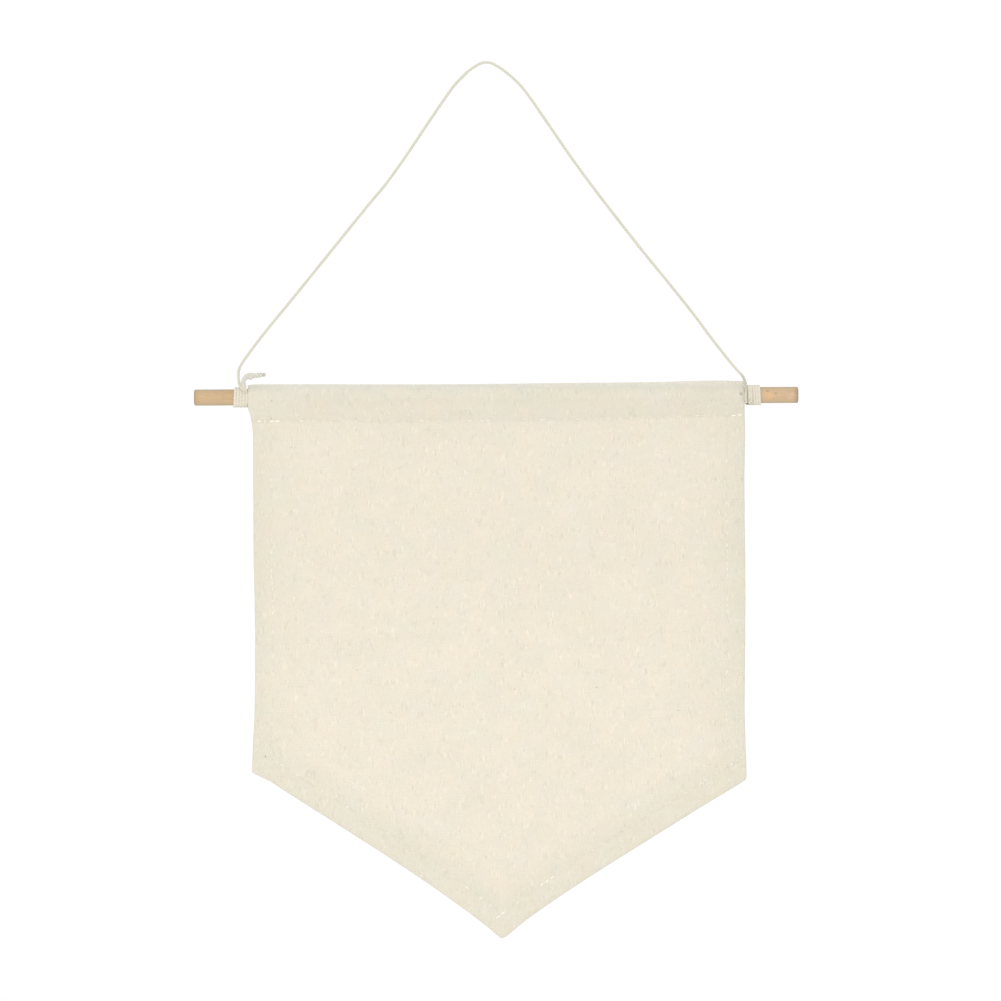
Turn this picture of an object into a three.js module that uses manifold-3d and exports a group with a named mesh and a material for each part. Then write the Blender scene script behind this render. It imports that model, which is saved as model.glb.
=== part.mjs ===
// A blank linen wall banner: a pointed canvas panel on a wooden dowel, hung by a lashed cotton cord.
// Millimetres. +X runs to the right along the dowel, +Z is up, and the front faces -Y.
// The origin is the underside of the cord's bight, where a nail or a hook bears.

import * as THREE from "three";
import { mergeVertices } from "three/addons/utils/BufferGeometryUtils.js";
import Module from "manifold-3d";

const wasm = await Module();
wasm.setup();

// ---- Driving dimensions ----

const GAP = 0.3; // between pieces that touch on the real banner

const DOWEL_LENGTH = 300;
const DOWEL_RADIUS = 4;
const DOWEL_ARRIS = 0.6; // the sawn ends are sanded round this far in
const DOWEL_X = 4.4; // middle of the dowel, a little right of the nail
const DOWEL_Z = -165;
const DOWEL_SLOPE = 0.0045; // it hangs slightly higher on the right

const CLOTH = 1; // one layer of canvas
const HEM = 12; // turned to the back along the sides and the point
const FOLD_STEP = 0.3; // run over which the back steps down from two layers to one
const FLAP = 4; // pocket cloth that reaches below the pocket's seam
const CREASE = 1.4; // width of the pressed crease along the top of the pocket

const LEFT_SHOULDER = { x: -116.9, z: -350.8 };
const POINT = { x: 7.3, z: -434.1 };
const RIGHT_SHOULDER = { x: 128.7, z: -354.9 };
const BOTTOM_BOW = 2; // the hems draw the two slanting edges in by this much
const BOW_LEAN = 0.9; // and more so near the point

const CORD_RADIUS = 0.65;
const WINDING_CREST = 5.15; // from the dowel's axis to the outside of a turn of cord
const WINDING_GROOVE = 4.85;
const TURN = 1.4; // one turn of the winding along the dowel

// The cloth's side edges, from below the shoulders up to the top of the pocket.
const SIDES = [
  { z: -436, left: -116.9, right: 128.7 },
  { z: -352, left: -116.9, right: 128.7 },
  { z: -338, left: -116.4, right: 128.2 },
  { z: -320, left: -115.6, right: 127.8 },
  { z: -281, left: -115.4, right: 128.1 },
  { z: -243, left: -116.1, right: 128.1 },
  { z: -207, left: -116.3, right: 127.7 },
  { z: -183, left: -116.5, right: 128.1 },
  { z: -175, left: -117.6, right: 127.9 },
  { z: -171, left: -118.8, right: 127.7 },
  { z: -158, left: -118.9, right: 127.5 },
];

// The cloth's top edge and the pocket's seam, from left to right.
const HEADING = [
  { x: -119, top: -159.4, seam: -177.4 },
  { x: -112, top: -159.05, seam: -177.4 },
  { x: -20, top: -159.05, seam: -177.2 },
  { x: 41, top: -158.4, seam: -176.4 },
  { x: 86, top: -157.9, seam: -175.2 },
  { x: 112, top: -157.2, seam: -174.6 },
  { x: 128, top: -157.4, seam: -174.4 },
];

// Soft swells of the hanging panel: where each is, how far it spreads, how far forward it stands.
const SWELLS = [
  { x: -98, z: -340, across: 34, down: 60, forward: -0.9 },
  { x: 108, z: -335, across: 38, down: 66, forward: 0.8 },
  { x: 8, z: -425, across: 42, down: 44, forward: 1.2 },
  { x: -46, z: -275, across: 32, down: 62, forward: 0.6 },
  { x: 44, z: -300, across: 34, down: 66, forward: -0.6 },
  { x: 88, z: -240, across: 24, down: 36, forward: 0.4 },
];

// Where each winding of cord lies along the dowel.
const WINDINGS = [
  { side: "left", from: -125.7, turns: 4.5 },
  { side: "right", from: 128.15, turns: 5.5 },
];

// The hanging cord's middle line, from the knot at the left, over the nail, to the tuck at the right.
const HANGER_ROUTE = [
  [-122.2, -5.1, -159.5],
  [-122.9, -4.8, -157.6],
  [-123.4, -4.5, -154.8],
  [-123, -4.3, -151.6],
  [-121, -4.1, -148],
  [-117.9, -4, -143.5],
  [-108.6, -3.7, -131.6],
  [-95.5, -3.2, -115.6],
  [-76.3, -2.6, -91.8],
  [-57.2, -1.9, -68.2],
  [-50.3, -1.7, -60.4],
  [-39, -1.2, -44.2],
  [-29, -0.8, -28.3],
  [-16.2, -0.3, -10.6],
  [-12.4, -0.2, -6.9],
  [-9.4, -0.1, -4.1],
  [-6, 0, -1.6],
  [-3.2, 0, 0.1],
  [-0.6, 0, 0.65],
  [1.7, 0, 0.25],
  [4.3, 0, -1.2],
  [8, -0.1, -3.5],
  [16.4, -0.3, -10.7],
  [28.8, -0.6, -28.3],
  [40.1, -0.9, -44.2],
  [51.8, -1.2, -60.1],
  [76.3, -1.8, -91.8],
  [88.9, -2.1, -107.6],
  [101.6, -2.4, -123.5],
  [113.5, -2.7, -139.4],
  [123, -3.2, -151.4],
  [126.1, -3.8, -155.2],
  [127.8, -4.5, -158.7],
  [128.2, -5.7, -162],
  [129, -6.2, -165.2],
  [129.2, -5.4, -168.4],
];

// The short free end, up from the knot and out over the top of the cloth.
const TAIL_ROUTE = [
  [-120.8, -5.4, -158.7],
  [-120.9, -5.3, -156.8],
  [-119.5, -5.1, -154.8],
  [-117.2, -5, -154.3],
  [-115.4, -4.9, -154.7],
  [-113.3, -4.8, -154.4],
  [-110.2, -4.8, -154.4],
];

const KNOT = { x: -120.6, y: -5.5, z: -160.9, radius: 1.6, length: 3.6, lean: 0.66 };

// ---- Helpers ----

// A smooth curve through one column of a table, read at a place along another column.
function curveThrough(table, place, value) {
  const places = table.map((row) => row[place]);
  const values = table.map((row) => row[value]);
  const curve = new THREE.CubicInterpolant(places, values, 1);
  return (at) => curve.evaluate(at)[0];
}

// A closed skin over rings of points that step to the right, its ends closed by strips across the ring.
function loft(rings) {
  const count = rings[0].length;
  const corners = [];
  const quad = (a, b, c, d) => corners.push(a, b, c, a, c, d);
  for (let i = 0; i + 1 < rings.length; i++) {
    for (let j = 0; j < count; j++) {
      const k = (j + 1) % count;
      quad(rings[i][j], rings[i + 1][j], rings[i + 1][k], rings[i][k]);
    }
  }
  const first = rings[0];
  const last = rings[rings.length - 1];
  for (let j = 0; j + 1 < count / 2; j++) {
    const k = count - 1 - j;
    quad(first[j], first[j + 1], first[k - 1], first[k]);
    quad(last[k], last[k - 1], last[j + 1], last[j]);
  }
  return new THREE.BufferGeometry().setFromPoints(corners);
}

// A geometry as a solid that manifold-3d can cut.
function solid(geometry) {
  const merged = mergeVertices(geometry, 1e-4);
  const triVerts = new Uint32Array(merged.index.array);
  const vertProperties = merged.attributes.position.array;
  return new wasm.Manifold(new wasm.Mesh({ numProp: 3, vertProperties, triVerts }));
}

// A cut solid back as a geometry.
function geometryOf(manifold) {
  const { vertProperties, triVerts } = manifold.getMesh();
  const geometry = new THREE.BufferGeometry();
  geometry.setAttribute("position", new THREE.BufferAttribute(vertProperties, 3));
  geometry.setIndex(new THREE.BufferAttribute(triVerts, 1));
  return geometry;
}

// A curve whose steps are shared evenly between its points, so they are short where the points are close.
class Route extends THREE.CatmullRomCurve3 {
  constructor(rows) {
    super(rows.map((row) => new THREE.Vector3(...row)), false, "centripetal");
  }
  getPointAt(share, target) {
    return this.getPoint(share, target);
  }
  getTangentAt(share, target) {
    return this.getTangent(share, target);
  }
}

function cordAlong(rows) {
  const sides = 8;
  const section = new THREE.Shape();
  section.absarc(0, 0, CORD_RADIUS, 0, 2 * Math.PI);
  const round = new THREE.Shape(section.getPoints(sides / 2).slice(0, sides));
  const steps = 2 * (rows.length - 1);
  return new THREE.ExtrudeGeometry(round, { steps, extrudePath: new Route(rows) });
}

// ---- The cloth ----

const leftEdge = curveThrough(SIDES, "z", "left");
const rightEdge = curveThrough(SIDES, "z", "right");
const topEdge = curveThrough(HEADING, "x", "top");
const pocketSeam = curveThrough(HEADING, "x", "seam");
const dowelHeight = (x) => DOWEL_Z + DOWEL_SLOPE * (x - DOWEL_X);

// Two slanting edges that meet at the point, each bowed in a little.
function bottomEdge(x) {
  const shoulder = x < POINT.x ? LEFT_SHOULDER : RIGHT_SHOULDER;
  const share = (x - POINT.x) / (shoulder.x - POINT.x);
  const bow = 4 * BOTTOM_BOW * share * (1 - share) * (1 + BOW_LEAN * (1 - 2 * share));
  return POINT.z + (shoulder.z - POINT.z) * share + bow;
}

// How far back the front face of the panel hangs, below the pocket.
function frontFace(x, z) {
  let y = -CLOTH;
  for (const swell of SWELLS) {
    const across = (x - swell.x) / swell.across;
    const down = (z - swell.z) / swell.down;
    y -= swell.forward * Math.exp(-across * across - down * down);
  }
  return y;
}

// Half a section of the pocket: from a low point, round the front of the dowel, to a high point.
// Points are (y, z) from the dowel's axis, and the cloth lies on a circle of the given radius.
function wrapFront(radius, low, high) {
  const steps = 6;
  const slack = (point) => Math.acos(radius / point.length());
  const turn = (point) => Math.atan2(-point.x, point.y);
  const start = turn(low) - slack(low);
  const end = turn(high) + slack(high);
  const points = [low];
  for (let i = 0; i <= steps; i++) {
    const angle = start + ((end - start) * i) / steps;
    points.push(new THREE.Vector2(-Math.sin(angle), Math.cos(angle)).multiplyScalar(radius));
  }
  points.push(high);
  return points;
}

// The stations across the cloth run from 0 at its left edge to 1 at its right edge.
const SPAN = RIGHT_SHOULDER.x - LEFT_SHOULDER.x;
const stationX = (share) => LEFT_SHOULDER.x + SPAN * share;
const placeX = (share, z) => THREE.MathUtils.lerp(leftEdge(z), rightEdge(z), share);

// A ring of cloth points from half a pocket section and its mirror at the back.
function pocketRing(share, front) {
  const x = stationX(share);
  const back = front.map((point) => new THREE.Vector2(-point.x, point.y)).reverse();
  return [...front, ...back].map((point) => {
    const z = dowelHeight(x) + point.y;
    return new THREE.Vector3(placeX(share, z), point.x, z);
  });
}

// The outer skin of the cloth at one station: up the front, over the dowel and down the back.
function clothRing(share, sideHem) {
  const bodyRows = 10;
  const x = stationX(share);
  const bottom = bottomEdge(x);
  const hemTop = bottom + HEM;
  const flapEnd = pocketSeam(x) - FLAP;
  const rows = [
    { z: bottom, layers: 2 },
    { z: hemTop, layers: 2 },
  ];
  for (let i = 0; i <= bodyRows; i++) {
    const z = THREE.MathUtils.lerp(hemTop + FOLD_STEP, flapEnd - FOLD_STEP, i / bodyRows);
    rows.push({ z, layers: sideHem ? 2 : 1 });
  }
  rows.push({ z: flapEnd, layers: 2 });
  const at = (z, layers) => {
    const across = placeX(share, z);
    return new THREE.Vector3(across, frontFace(across, z) + CLOTH * layers, z);
  };
  const low = new THREE.Vector2(-CLOTH, pocketSeam(x) - dowelHeight(x));
  const high = new THREE.Vector2(-CREASE / 2, topEdge(x) - dowelHeight(x));
  const pocket = pocketRing(share, wrapFront(DOWEL_RADIUS + GAP + CLOTH, low, high));
  const front = rows.map((row) => at(row.z, 0));
  const back = rows.map((row) => at(row.z, row.layers)).reverse();
  return [...front, ...pocket, ...back];
}

// The hollow of the rod pocket at one station.
function hollowRing(share) {
  const x = stationX(share);
  const low = new THREE.Vector2(-GAP, pocketSeam(x) - dowelHeight(x) + GAP);
  const high = new THREE.Vector2(-GAP, topEdge(x) - dowelHeight(x) - CLOTH - GAP);
  return pocketRing(share, wrapFront(DOWEL_RADIUS + GAP, low, high));
}

function bannerCloth() {
  const panelStations = 30;
  const hem = HEM / SPAN;
  const step = FOLD_STEP / SPAN;
  const point = (POINT.x - LEFT_SHOULDER.x) / SPAN;
  const shares = [0, hem / 2, hem];
  for (let i = 0; i <= panelStations; i++) {
    shares.push(THREE.MathUtils.lerp(hem + step, 1 - hem - step, i / panelStations));
  }
  shares.push(1 - hem, 1 - hem / 2, 1, point);
  shares.sort((a, b) => a - b);
  const isHem = (share) => share <= hem || share >= 1 - hem;
  const skin = solid(loft(shares.map((share) => clothRing(share, isHem(share)))));
  const past = 2 / SPAN; // the hollow is cut right through both ends
  const hollow = solid(loft([-past, ...shares, 1 + past].map(hollowRing)));
  return geometryOf(skin.subtract(hollow));
}

// ---- The dowel and what is wound on it: lathe work about the Y axis ----

function dowelRod() {
  const half = DOWEL_LENGTH / 2;
  const flat = DOWEL_RADIUS - DOWEL_ARRIS;
  const shoulder = DOWEL_RADIUS - DOWEL_ARRIS / 4;
  const end = [
    new THREE.Vector2(0, half),
    new THREE.Vector2(flat, half),
    new THREE.Vector2(shoulder, half - DOWEL_ARRIS / 4),
    new THREE.Vector2(DOWEL_RADIUS, half - DOWEL_ARRIS),
  ];
  const other = end.map((point) => new THREE.Vector2(point.x, -point.y));
  return new THREE.LatheGeometry([...other, ...end.reverse()], 32);
}

// A close winding of cord: a ring clear of the dowel, with a low bulge for each turn.
function winding(turns) {
  const inner = DOWEL_RADIUS + GAP;
  const width = turns * TURN;
  const bulges = Math.round(turns);
  const pitch = width / bulges;
  const profile = [new THREE.Vector2(inner, width), new THREE.Vector2(inner, 0)];
  for (let i = 0; i < bulges; i++) {
    profile.push(new THREE.Vector2(WINDING_GROOVE, i * pitch));
    profile.push(new THREE.Vector2(WINDING_CREST, (i + 0.3) * pitch));
    profile.push(new THREE.Vector2(WINDING_CREST, (i + 0.7) * pitch));
  }
  profile.push(new THREE.Vector2(WINDING_GROOVE, width), profile[0].clone());
  return new THREE.LatheGeometry(profile, 28);
}

// Two wraps of cord drawn up side by side.
function knotBody() {
  const half = KNOT.length / 2;
  const profile = [
    new THREE.Vector2(0, -half),
    new THREE.Vector2(0.6 * KNOT.radius, -0.92 * half),
    new THREE.Vector2(KNOT.radius, -0.5 * half),
    new THREE.Vector2(0.86 * KNOT.radius, 0),
    new THREE.Vector2(KNOT.radius, 0.5 * half),
    new THREE.Vector2(0.6 * KNOT.radius, 0.92 * half),
    new THREE.Vector2(0, half),
  ];
  return new THREE.LatheGeometry(profile, 14);
}

// ---- Materials ----

const canvas = () => new THREE.MeshStandardMaterial({ color: 0xf0e8d6, roughness: 0.95, metalness: 0 });
const paleWood = () => new THREE.MeshStandardMaterial({ color: 0xd9bb95, roughness: 0.7, metalness: 0 });
const cotton = () => new THREE.MeshStandardMaterial({ color: 0xe8e0cd, roughness: 0.95, metalness: 0 });

function piece(name, geometry, material) {
  const mesh = new THREE.Mesh(geometry, material);
  mesh.name = name;
  return mesh;
}

// ---- Assembly ----

const banner = new THREE.Group();
banner.add(piece("banner_cloth", bannerCloth(), canvas()));
banner.add(piece("hanger_cord", cordAlong(HANGER_ROUTE), cotton()));
banner.add(piece("cord_tail", cordAlong(TAIL_ROUTE), cotton()));

const knot = piece("cord_knot", knotBody(), cotton());
knot.position.set(KNOT.x, KNOT.y, KNOT.z);
knot.rotation.set(Math.PI / 2, KNOT.lean, 0, "YXZ"); // its long axis leans right of straight up
banner.add(knot);

// The lathe's Y axis is laid along the dowel: over to +X, then up by the dowel's slope.
const rod = new THREE.Group();
rod.position.set(DOWEL_X, 0, DOWEL_Z);
rod.rotation.y = -Math.atan(DOWEL_SLOPE);
const laid = new THREE.Group();
laid.rotation.z = -Math.PI / 2;
laid.add(piece("dowel", dowelRod(), paleWood()));
for (const { side, from, turns } of WINDINGS) {
  const wound = piece(`cord_winding_${side}`, winding(turns), cotton());
  wound.position.y = from - DOWEL_X;
  laid.add(wound);
}
rod.add(laid);
banner.add(rod);

export default banner;
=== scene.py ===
# %% [markdown]
# # A linen wall banner
#
# A blank canvas panel hangs from a wooden dowel, and a lashed cotton cord carries the dowel. The frame
# holds the banner's seven solids at their real size. Each lesson below gives one of them the surface
# that the real thing has: a thin hemmed sheet, a twisted string, turned wood, rows of stitches.
#
# Everything is drawn in millimetres, as a maker would measure it. Only the last step of each piece
# turns it into metres, which is the unit of the frame.

# %% Load the frame
import math
from random import Random

import bmesh
import bpy
from mathutils import Matrix, Vector, noise
from mathutils.geometry import interpolate_bezier


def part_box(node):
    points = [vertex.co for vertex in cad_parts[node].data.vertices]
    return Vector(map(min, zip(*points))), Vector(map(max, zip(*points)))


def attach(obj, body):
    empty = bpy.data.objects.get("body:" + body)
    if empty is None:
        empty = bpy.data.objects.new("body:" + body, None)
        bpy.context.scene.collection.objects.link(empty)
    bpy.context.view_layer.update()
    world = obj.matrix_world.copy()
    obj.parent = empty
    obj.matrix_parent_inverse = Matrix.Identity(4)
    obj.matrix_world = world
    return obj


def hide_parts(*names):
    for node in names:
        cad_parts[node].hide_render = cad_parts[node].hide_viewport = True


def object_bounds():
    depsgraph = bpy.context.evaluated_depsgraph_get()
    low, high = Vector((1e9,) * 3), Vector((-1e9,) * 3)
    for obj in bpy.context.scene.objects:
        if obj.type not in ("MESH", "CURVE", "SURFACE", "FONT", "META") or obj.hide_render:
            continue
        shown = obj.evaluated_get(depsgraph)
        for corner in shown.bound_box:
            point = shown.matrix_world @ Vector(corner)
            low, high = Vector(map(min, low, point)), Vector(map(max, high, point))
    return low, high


MM = 0.001
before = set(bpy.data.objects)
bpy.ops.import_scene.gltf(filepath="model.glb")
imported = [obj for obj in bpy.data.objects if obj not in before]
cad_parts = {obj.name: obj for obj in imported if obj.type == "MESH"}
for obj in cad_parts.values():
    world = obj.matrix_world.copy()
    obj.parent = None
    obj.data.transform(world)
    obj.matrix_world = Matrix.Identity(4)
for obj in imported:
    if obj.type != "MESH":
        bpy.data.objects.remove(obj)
cad_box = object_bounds()
scene = bpy.context.scene
print("solids in the frame:", ", ".join(sorted(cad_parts)))
print("their box in mm:", [[round(value / MM, 1) for value in corner] for corner in cad_box])

# %% [markdown]
# ## The camera
#
# A flat wall hanging is best seen square on, from far enough away that its edges stay parallel. A long
# lens some way off does that. The camera is aimed from the middle of the frame's box, so it would follow
# the banner if the banner grew.

# %% Place the camera
LENS = 200
DISTANCE = 2763  # far enough that the banner fills most of the view and no more
AIM_RIGHT = 2.15  # the banner hangs a touch left of the view's middle
AIM_DOWN = 0.4  # and a touch high

middle = (cad_box[0] + cad_box[1]) / 2
camera = bpy.data.objects.new("camera", bpy.data.cameras.new("camera"))
camera.data.lens = LENS
camera.location = (middle.x + AIM_RIGHT * MM, -DISTANCE * MM, middle.z - AIM_DOWN * MM)
camera.rotation_euler = (math.radians(90), 0, 0)
scene.collection.objects.link(camera)
scene.camera = camera
print("camera at", [round(value, 4) for value in camera.location])

# %% [markdown]
# ## Helpers for every piece
#
# A piece starts as a bmesh in millimetres. `make_piece` scales it to metres, leaves its object at the
# origin, and tells the frame which body carries it and which finish it takes. The banner has no joint,
# so its one body is called root.

# %% Turn a bmesh into a piece
def make_piece(name, bm, material):
    bmesh.ops.scale(bm, vec=(MM, MM, MM), verts=bm.verts)
    mesh = bpy.data.meshes.new(name)
    bm.to_mesh(mesh)
    bm.free()
    mesh.materials.append(material)
    mesh.shade_smooth()
    piece = bpy.data.objects.new(name, mesh)
    scene.collection.objects.link(piece)
    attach(piece, "root")
    print(f"{name}: {len(mesh.polygons)} faces")
    return piece


# %% [markdown]
# ## Shader maths as Python
#
# A material is a small program. Wrapping a node's output in a class lets that program be written as
# sums: `gap * 0.3 + 1` adds two Math nodes. Colours are mixed and vectors are moved with their own
# nodes, because a Math node would turn them grey.

# %% Wrap a socket
class Wire:
    """One output of a shader node. Arithmetic on it adds Math nodes to the same material."""

    def __init__(self, tree, socket=None):
        self.tree = tree
        self.socket = socket

    def node(self, kind, settings=None, inputs=None, output=0):
        """Adds a node: its settings first, then its inputs by name or number. Returns one output."""
        made = self.tree.nodes.new(kind)
        for name, value in (settings or {}).items():
            setattr(made, name, value)
        for name, value in (inputs or {}).items():
            if isinstance(value, Wire):
                self.tree.links.new(value.socket, made.inputs[name])
            else:
                made.inputs[name].default_value = value
        return Wire(self.tree, made.outputs[output]) if len(made.outputs) else None

    def math(self, operation, *values):
        return self.node("ShaderNodeMath", {"operation": operation}, dict(enumerate(values)))

    def __add__(self, other):
        return self.math("ADD", self, other)

    def __sub__(self, other):
        return self.math("SUBTRACT", self, other)

    def __mul__(self, other):
        return self.math("MULTIPLY", self, other)

    def __truediv__(self, other):
        return self.math("DIVIDE", self, other)

    def __rsub__(self, other):
        return self.math("SUBTRACT", other, self)

    __radd__ = __add__
    __rmul__ = __mul__

    def floor(self):
        return self.math("FLOOR", self)

    def fraction(self):
        return self.math("FRACT", self)

    def size(self):
        return self.math("ABSOLUTE", self)

    def larger(self, other):
        return self.math("MAXIMUM", self, other)

    def ramp(self, low, high, start=0, end=1):
        """start where this is low, end where it is high, and a soft step between."""
        inputs = {"Value": self, "From Min": low, "From Max": high, "To Min": start, "To Max": end}
        return self.node("ShaderNodeMapRange", {"interpolation_type": "SMOOTHSTEP"}, inputs)

    def part(self, axis):
        return self.node("ShaderNodeSeparateXYZ", inputs={0: self}, output=axis)

    def stretched(self, x, y, z):
        inputs = {0: self, 1: (x, y, z)}
        return self.node("ShaderNodeVectorMath", {"operation": "MULTIPLY"}, inputs)

    def away_from(self, place, stretch):
        """How far this vector is from one place, where stretch makes each axis count more or less."""
        gap = self.node("ShaderNodeVectorMath", {"operation": "SUBTRACT"}, {0: self, 1: place})
        gap = gap.stretched(*stretch)
        return gap.node("ShaderNodeVectorMath", {"operation": "LENGTH"}, {0: gap}, output=1)

    def noise(self, scale, detail=2, rough=0.5):
        """Cloudy noise from 0 to 1 over this vector."""
        inputs = {"Vector": self, "Scale": scale, "Detail": detail, "Roughness": rough}
        return self.node("ShaderNodeTexNoise", inputs=inputs)

    def tint(self, first, second):
        """A colour: first where this is 0 and second where it is 1."""
        settings = {"data_type": "RGBA"}
        return self.node("ShaderNodeMix", settings, {0: self, 6: first, 7: second}, output=2)


# %% [markdown]
# A few more helpers start a material, read what a mesh carries at each of its points, and end every
# material in the same plain shader. Colours are given as on a paint card, from 0 to 255.

# %% Start and end a material
def vector(x, y, z=0.0):
    wire = x if isinstance(x, Wire) else y
    return wire.node("ShaderNodeCombineXYZ", inputs={0: x, 1: y, 2: z})


def srgb(red, green, blue):
    """A colour as a paint card gives it, 0 to 255, turned into the light it reflects."""
    def light(value):
        share = value / 255
        return share / 12.92 if share <= 0.04045 else ((share + 0.055) / 1.055) ** 2.4
    return (light(red), light(green), light(blue), 1)


def start_material(name):
    """A new material, and a wire from which its nodes are made."""
    material = bpy.data.materials.new(name)
    material.use_nodes = True
    material.node_tree.nodes.clear()
    return material, Wire(material.node_tree)


def attribute(wire, name):
    """A vector that the mesh carries at each of its points."""
    return wire.node("ShaderNodeAttribute", {"attribute_name": name}, output=1)


def object_place(wire):
    """Where each point of a piece lies, in metres, as its Object coordinates say."""
    return wire.node("ShaderNodeTexCoord", output=3)


def place_in_mm(wire):
    return object_place(wire).stretched(1 / MM, 1 / MM, 1 / MM)


def finish_material(wire, colour, roughness, relief, depth, sheen=0.0):
    """Ends a material in a plain shader. depth is how far relief stands out, in millimetres."""
    bump = {"Height": relief, "Distance": depth * MM, "Strength": 1.0}
    normal = wire.node("ShaderNodeBump", inputs=bump)
    inputs = {"Base Color": colour, "Roughness": roughness, "Normal": normal}
    constants = {"Sheen Weight": sheen, "Sheen Roughness": 0.5, "Specular IOR Level": 0.2}
    shader = wire.node("ShaderNodeBsdfPrincipled", inputs=inputs | constants)
    wire.node("ShaderNodeOutputMaterial", inputs={"Surface": shader})


print(f"a paint card's middle grey reflects {srgb(128, 128, 128)[0]:.2f} of the light")

# %% [markdown]
# ## The rod's own measures
#
# What is wound on the dowel needs its radius, its middle line and its slight slope. All three can be
# read from the box of the frame's dowel. The finishes of the wood and of the string wound on it change
# with the height above the rod's axis, so that height is worked out here too.

# %% Measure the rod
low, high = (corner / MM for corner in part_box("dowel"))
ROD_RADIUS = (high.y - low.y) / 2
ROD_LENGTH = high.x - low.x
ROD_MIDDLE = (low + high) / 2
ROD_SLOPE = (high.z - low.z - 2 * ROD_RADIUS) / ROD_LENGTH


def rod_height(x):
    return ROD_MIDDLE.z + ROD_SLOPE * (x - ROD_MIDDLE.x)


def above_axis(place):
    """The height above the rod's axis, for a material's place in millimetres."""
    return place.part(2) - (place.part(0) - ROD_MIDDLE.x) * ROD_SLOPE - ROD_MIDDLE.z


print(f"rod: {2 * ROD_RADIUS:.2f} mm across, {ROD_LENGTH:.1f} mm long, slope {ROD_SLOPE:.4f}")

# %% [markdown]
# ## Cotton string
#
# The cord is a soft string of three strands twisted together. Modelling each strand as its own tube,
# wound about the string's middle line, gives the true bumpy outline; a plain tube with a bump would
# look like wire. The finish follows the strands: each point of a strand carries a vector that says
# where it would be if the strand were straight, and the fibre pattern is drawn there. A second value
# says how deep a point lies between the strands, where little light comes.
#
# The loop that hangs free is a shade greyer than the string round the rod and in the knot at the left. At
# the right, near the pocket's edge, it is darkened by a painted shade. The turns round the rod carry a
# painted light that makes them paler above and below, so their roundness shows less. The frayed end is a
# touch paler than the loop.

# %% The string's finish
WARMER_STRING = srgb(208, 201, 184), srgb(232, 225, 208)  # in shade and in light
GREYER_STRING = srgb(198, 196, 179), srgb(226, 224, 208)
FRAYED = srgb(202, 200, 188), srgb(229, 227, 217)
LEG_SHADE_COLOUR = srgb(172, 170, 155)
FIBRE_TURN = 0.9  # how far the fibres circle a strand, in radians for each millimetre
GREYING_FROM = (-161.5, -158.5)  # heights between which the string at the left turns from the warmer colour to the greyer one
LEG_SHADE_FROM, LEG_SHADE_TO = (-165, -162), (-156, -153)  # heights between which a painted shade darkens the string, at the right


def cotton_finish(name, shaded, lit, groove=0.0, leg_shade=0.0, painted_light=0.0):
    """Shaded and lit are the colours of the greyer string.

    The other arguments say how much darker the string is between its strands, how much a painted shade
    darkens the loop at the right near the pocket's edge, and how much a painted light makes the string
    paler away from the height of the rod's axis.
    """
    material, start = start_material(name)
    straight, depth = attribute(start, "straight"), attribute(start, "depth").part(0)
    settings = {"rotation_type": "Z_AXIS"}
    inputs = {"Vector": straight, "Angle": straight.part(2) * FIBRE_TURN}
    turned = start.node("ShaderNodeVectorRotate", settings, inputs)
    fibres = turned.stretched(3.2, 3.2, 0.45).noise(1.6, 3, 0.6)
    soiling = straight.stretched(0, 0, 1).noise(0.09, 2)
    shade = fibres.ramp(0.3, 0.75) * 0.5 + soiling * 0.5 - depth.ramp(0.3, 1) * groove
    place = place_in_mm(start)
    # painted light: paler above and below the rod's axis, so the round turns show less shading
    shade = shade + above_axis(place).size().ramp(1.4, 3.8) * painted_light
    right, height = place.part(0).ramp(0, 1), place.part(2)
    greyer = height.ramp(*GREYING_FROM).larger(right)
    colour = greyer.tint(shade.tint(*WARMER_STRING), shade.tint(shaded, lit))
    # painted shade: darker on the loop at the right, near the pocket's edge
    leg_shade_mask = right * height.ramp(*LEG_SHADE_FROM) * height.ramp(*LEG_SHADE_TO, 1, 0) * leg_shade
    colour = leg_shade_mask.tint(colour, LEG_SHADE_COLOUR)
    finish_material(start, colour, 0.92, fibres, 0.08, sheen=0.25)
    print(f"{name}: {len(material.node_tree.nodes)} nodes")
    return material


WOUND_COTTON = cotton_finish("natural cotton", *WARMER_STRING, painted_light=0.38)
LOOSE_COTTON = cotton_finish("dusty cotton", *GREYER_STRING, groove=0.6, leg_shade=0.45)
FRAYED_COTTON = cotton_finish("frayed cotton", *FRAYED, groove=0.6)

# %% [markdown]
# A route is a short list of points given along the string. `smooth_route` draws a curve through them with
# even steps. It is quicker to try out than a curve object, and its length can be read at once.
# `frames_along` carries a pair of crosswise directions down the curve without letting them spin, so the
# twist that is added later is the only twist.

# %% Routes
BETWEEN = 16  # short steps between two points of a route


def smooth_route(points, step):
    """Points one step apart along a smooth curve through the given ones."""
    rows = [Vector(point) for point in points]
    rows = [2 * rows[0] - rows[1], *rows, 2 * rows[-1] - rows[-2]]
    line = []
    for a, b, c, d in zip(rows, rows[1:], rows[2:], rows[3:]):
        before, here, after = (math.sqrt((q - p).length) for p, q in ((a, b), (b, c), (c, d)))
        leaving = (b - a) / before - (c - a) / (before + here) + (c - b) / here
        arriving = (c - b) / here - (d - b) / (here + after) + (d - c) / after
        handles = b + leaving * here / 3, c - arriving * here / 3
        line += interpolate_bezier(b, *handles, c, BETWEEN)[:-1]
    return even_steps([*line, rows[-2]], step)


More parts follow.
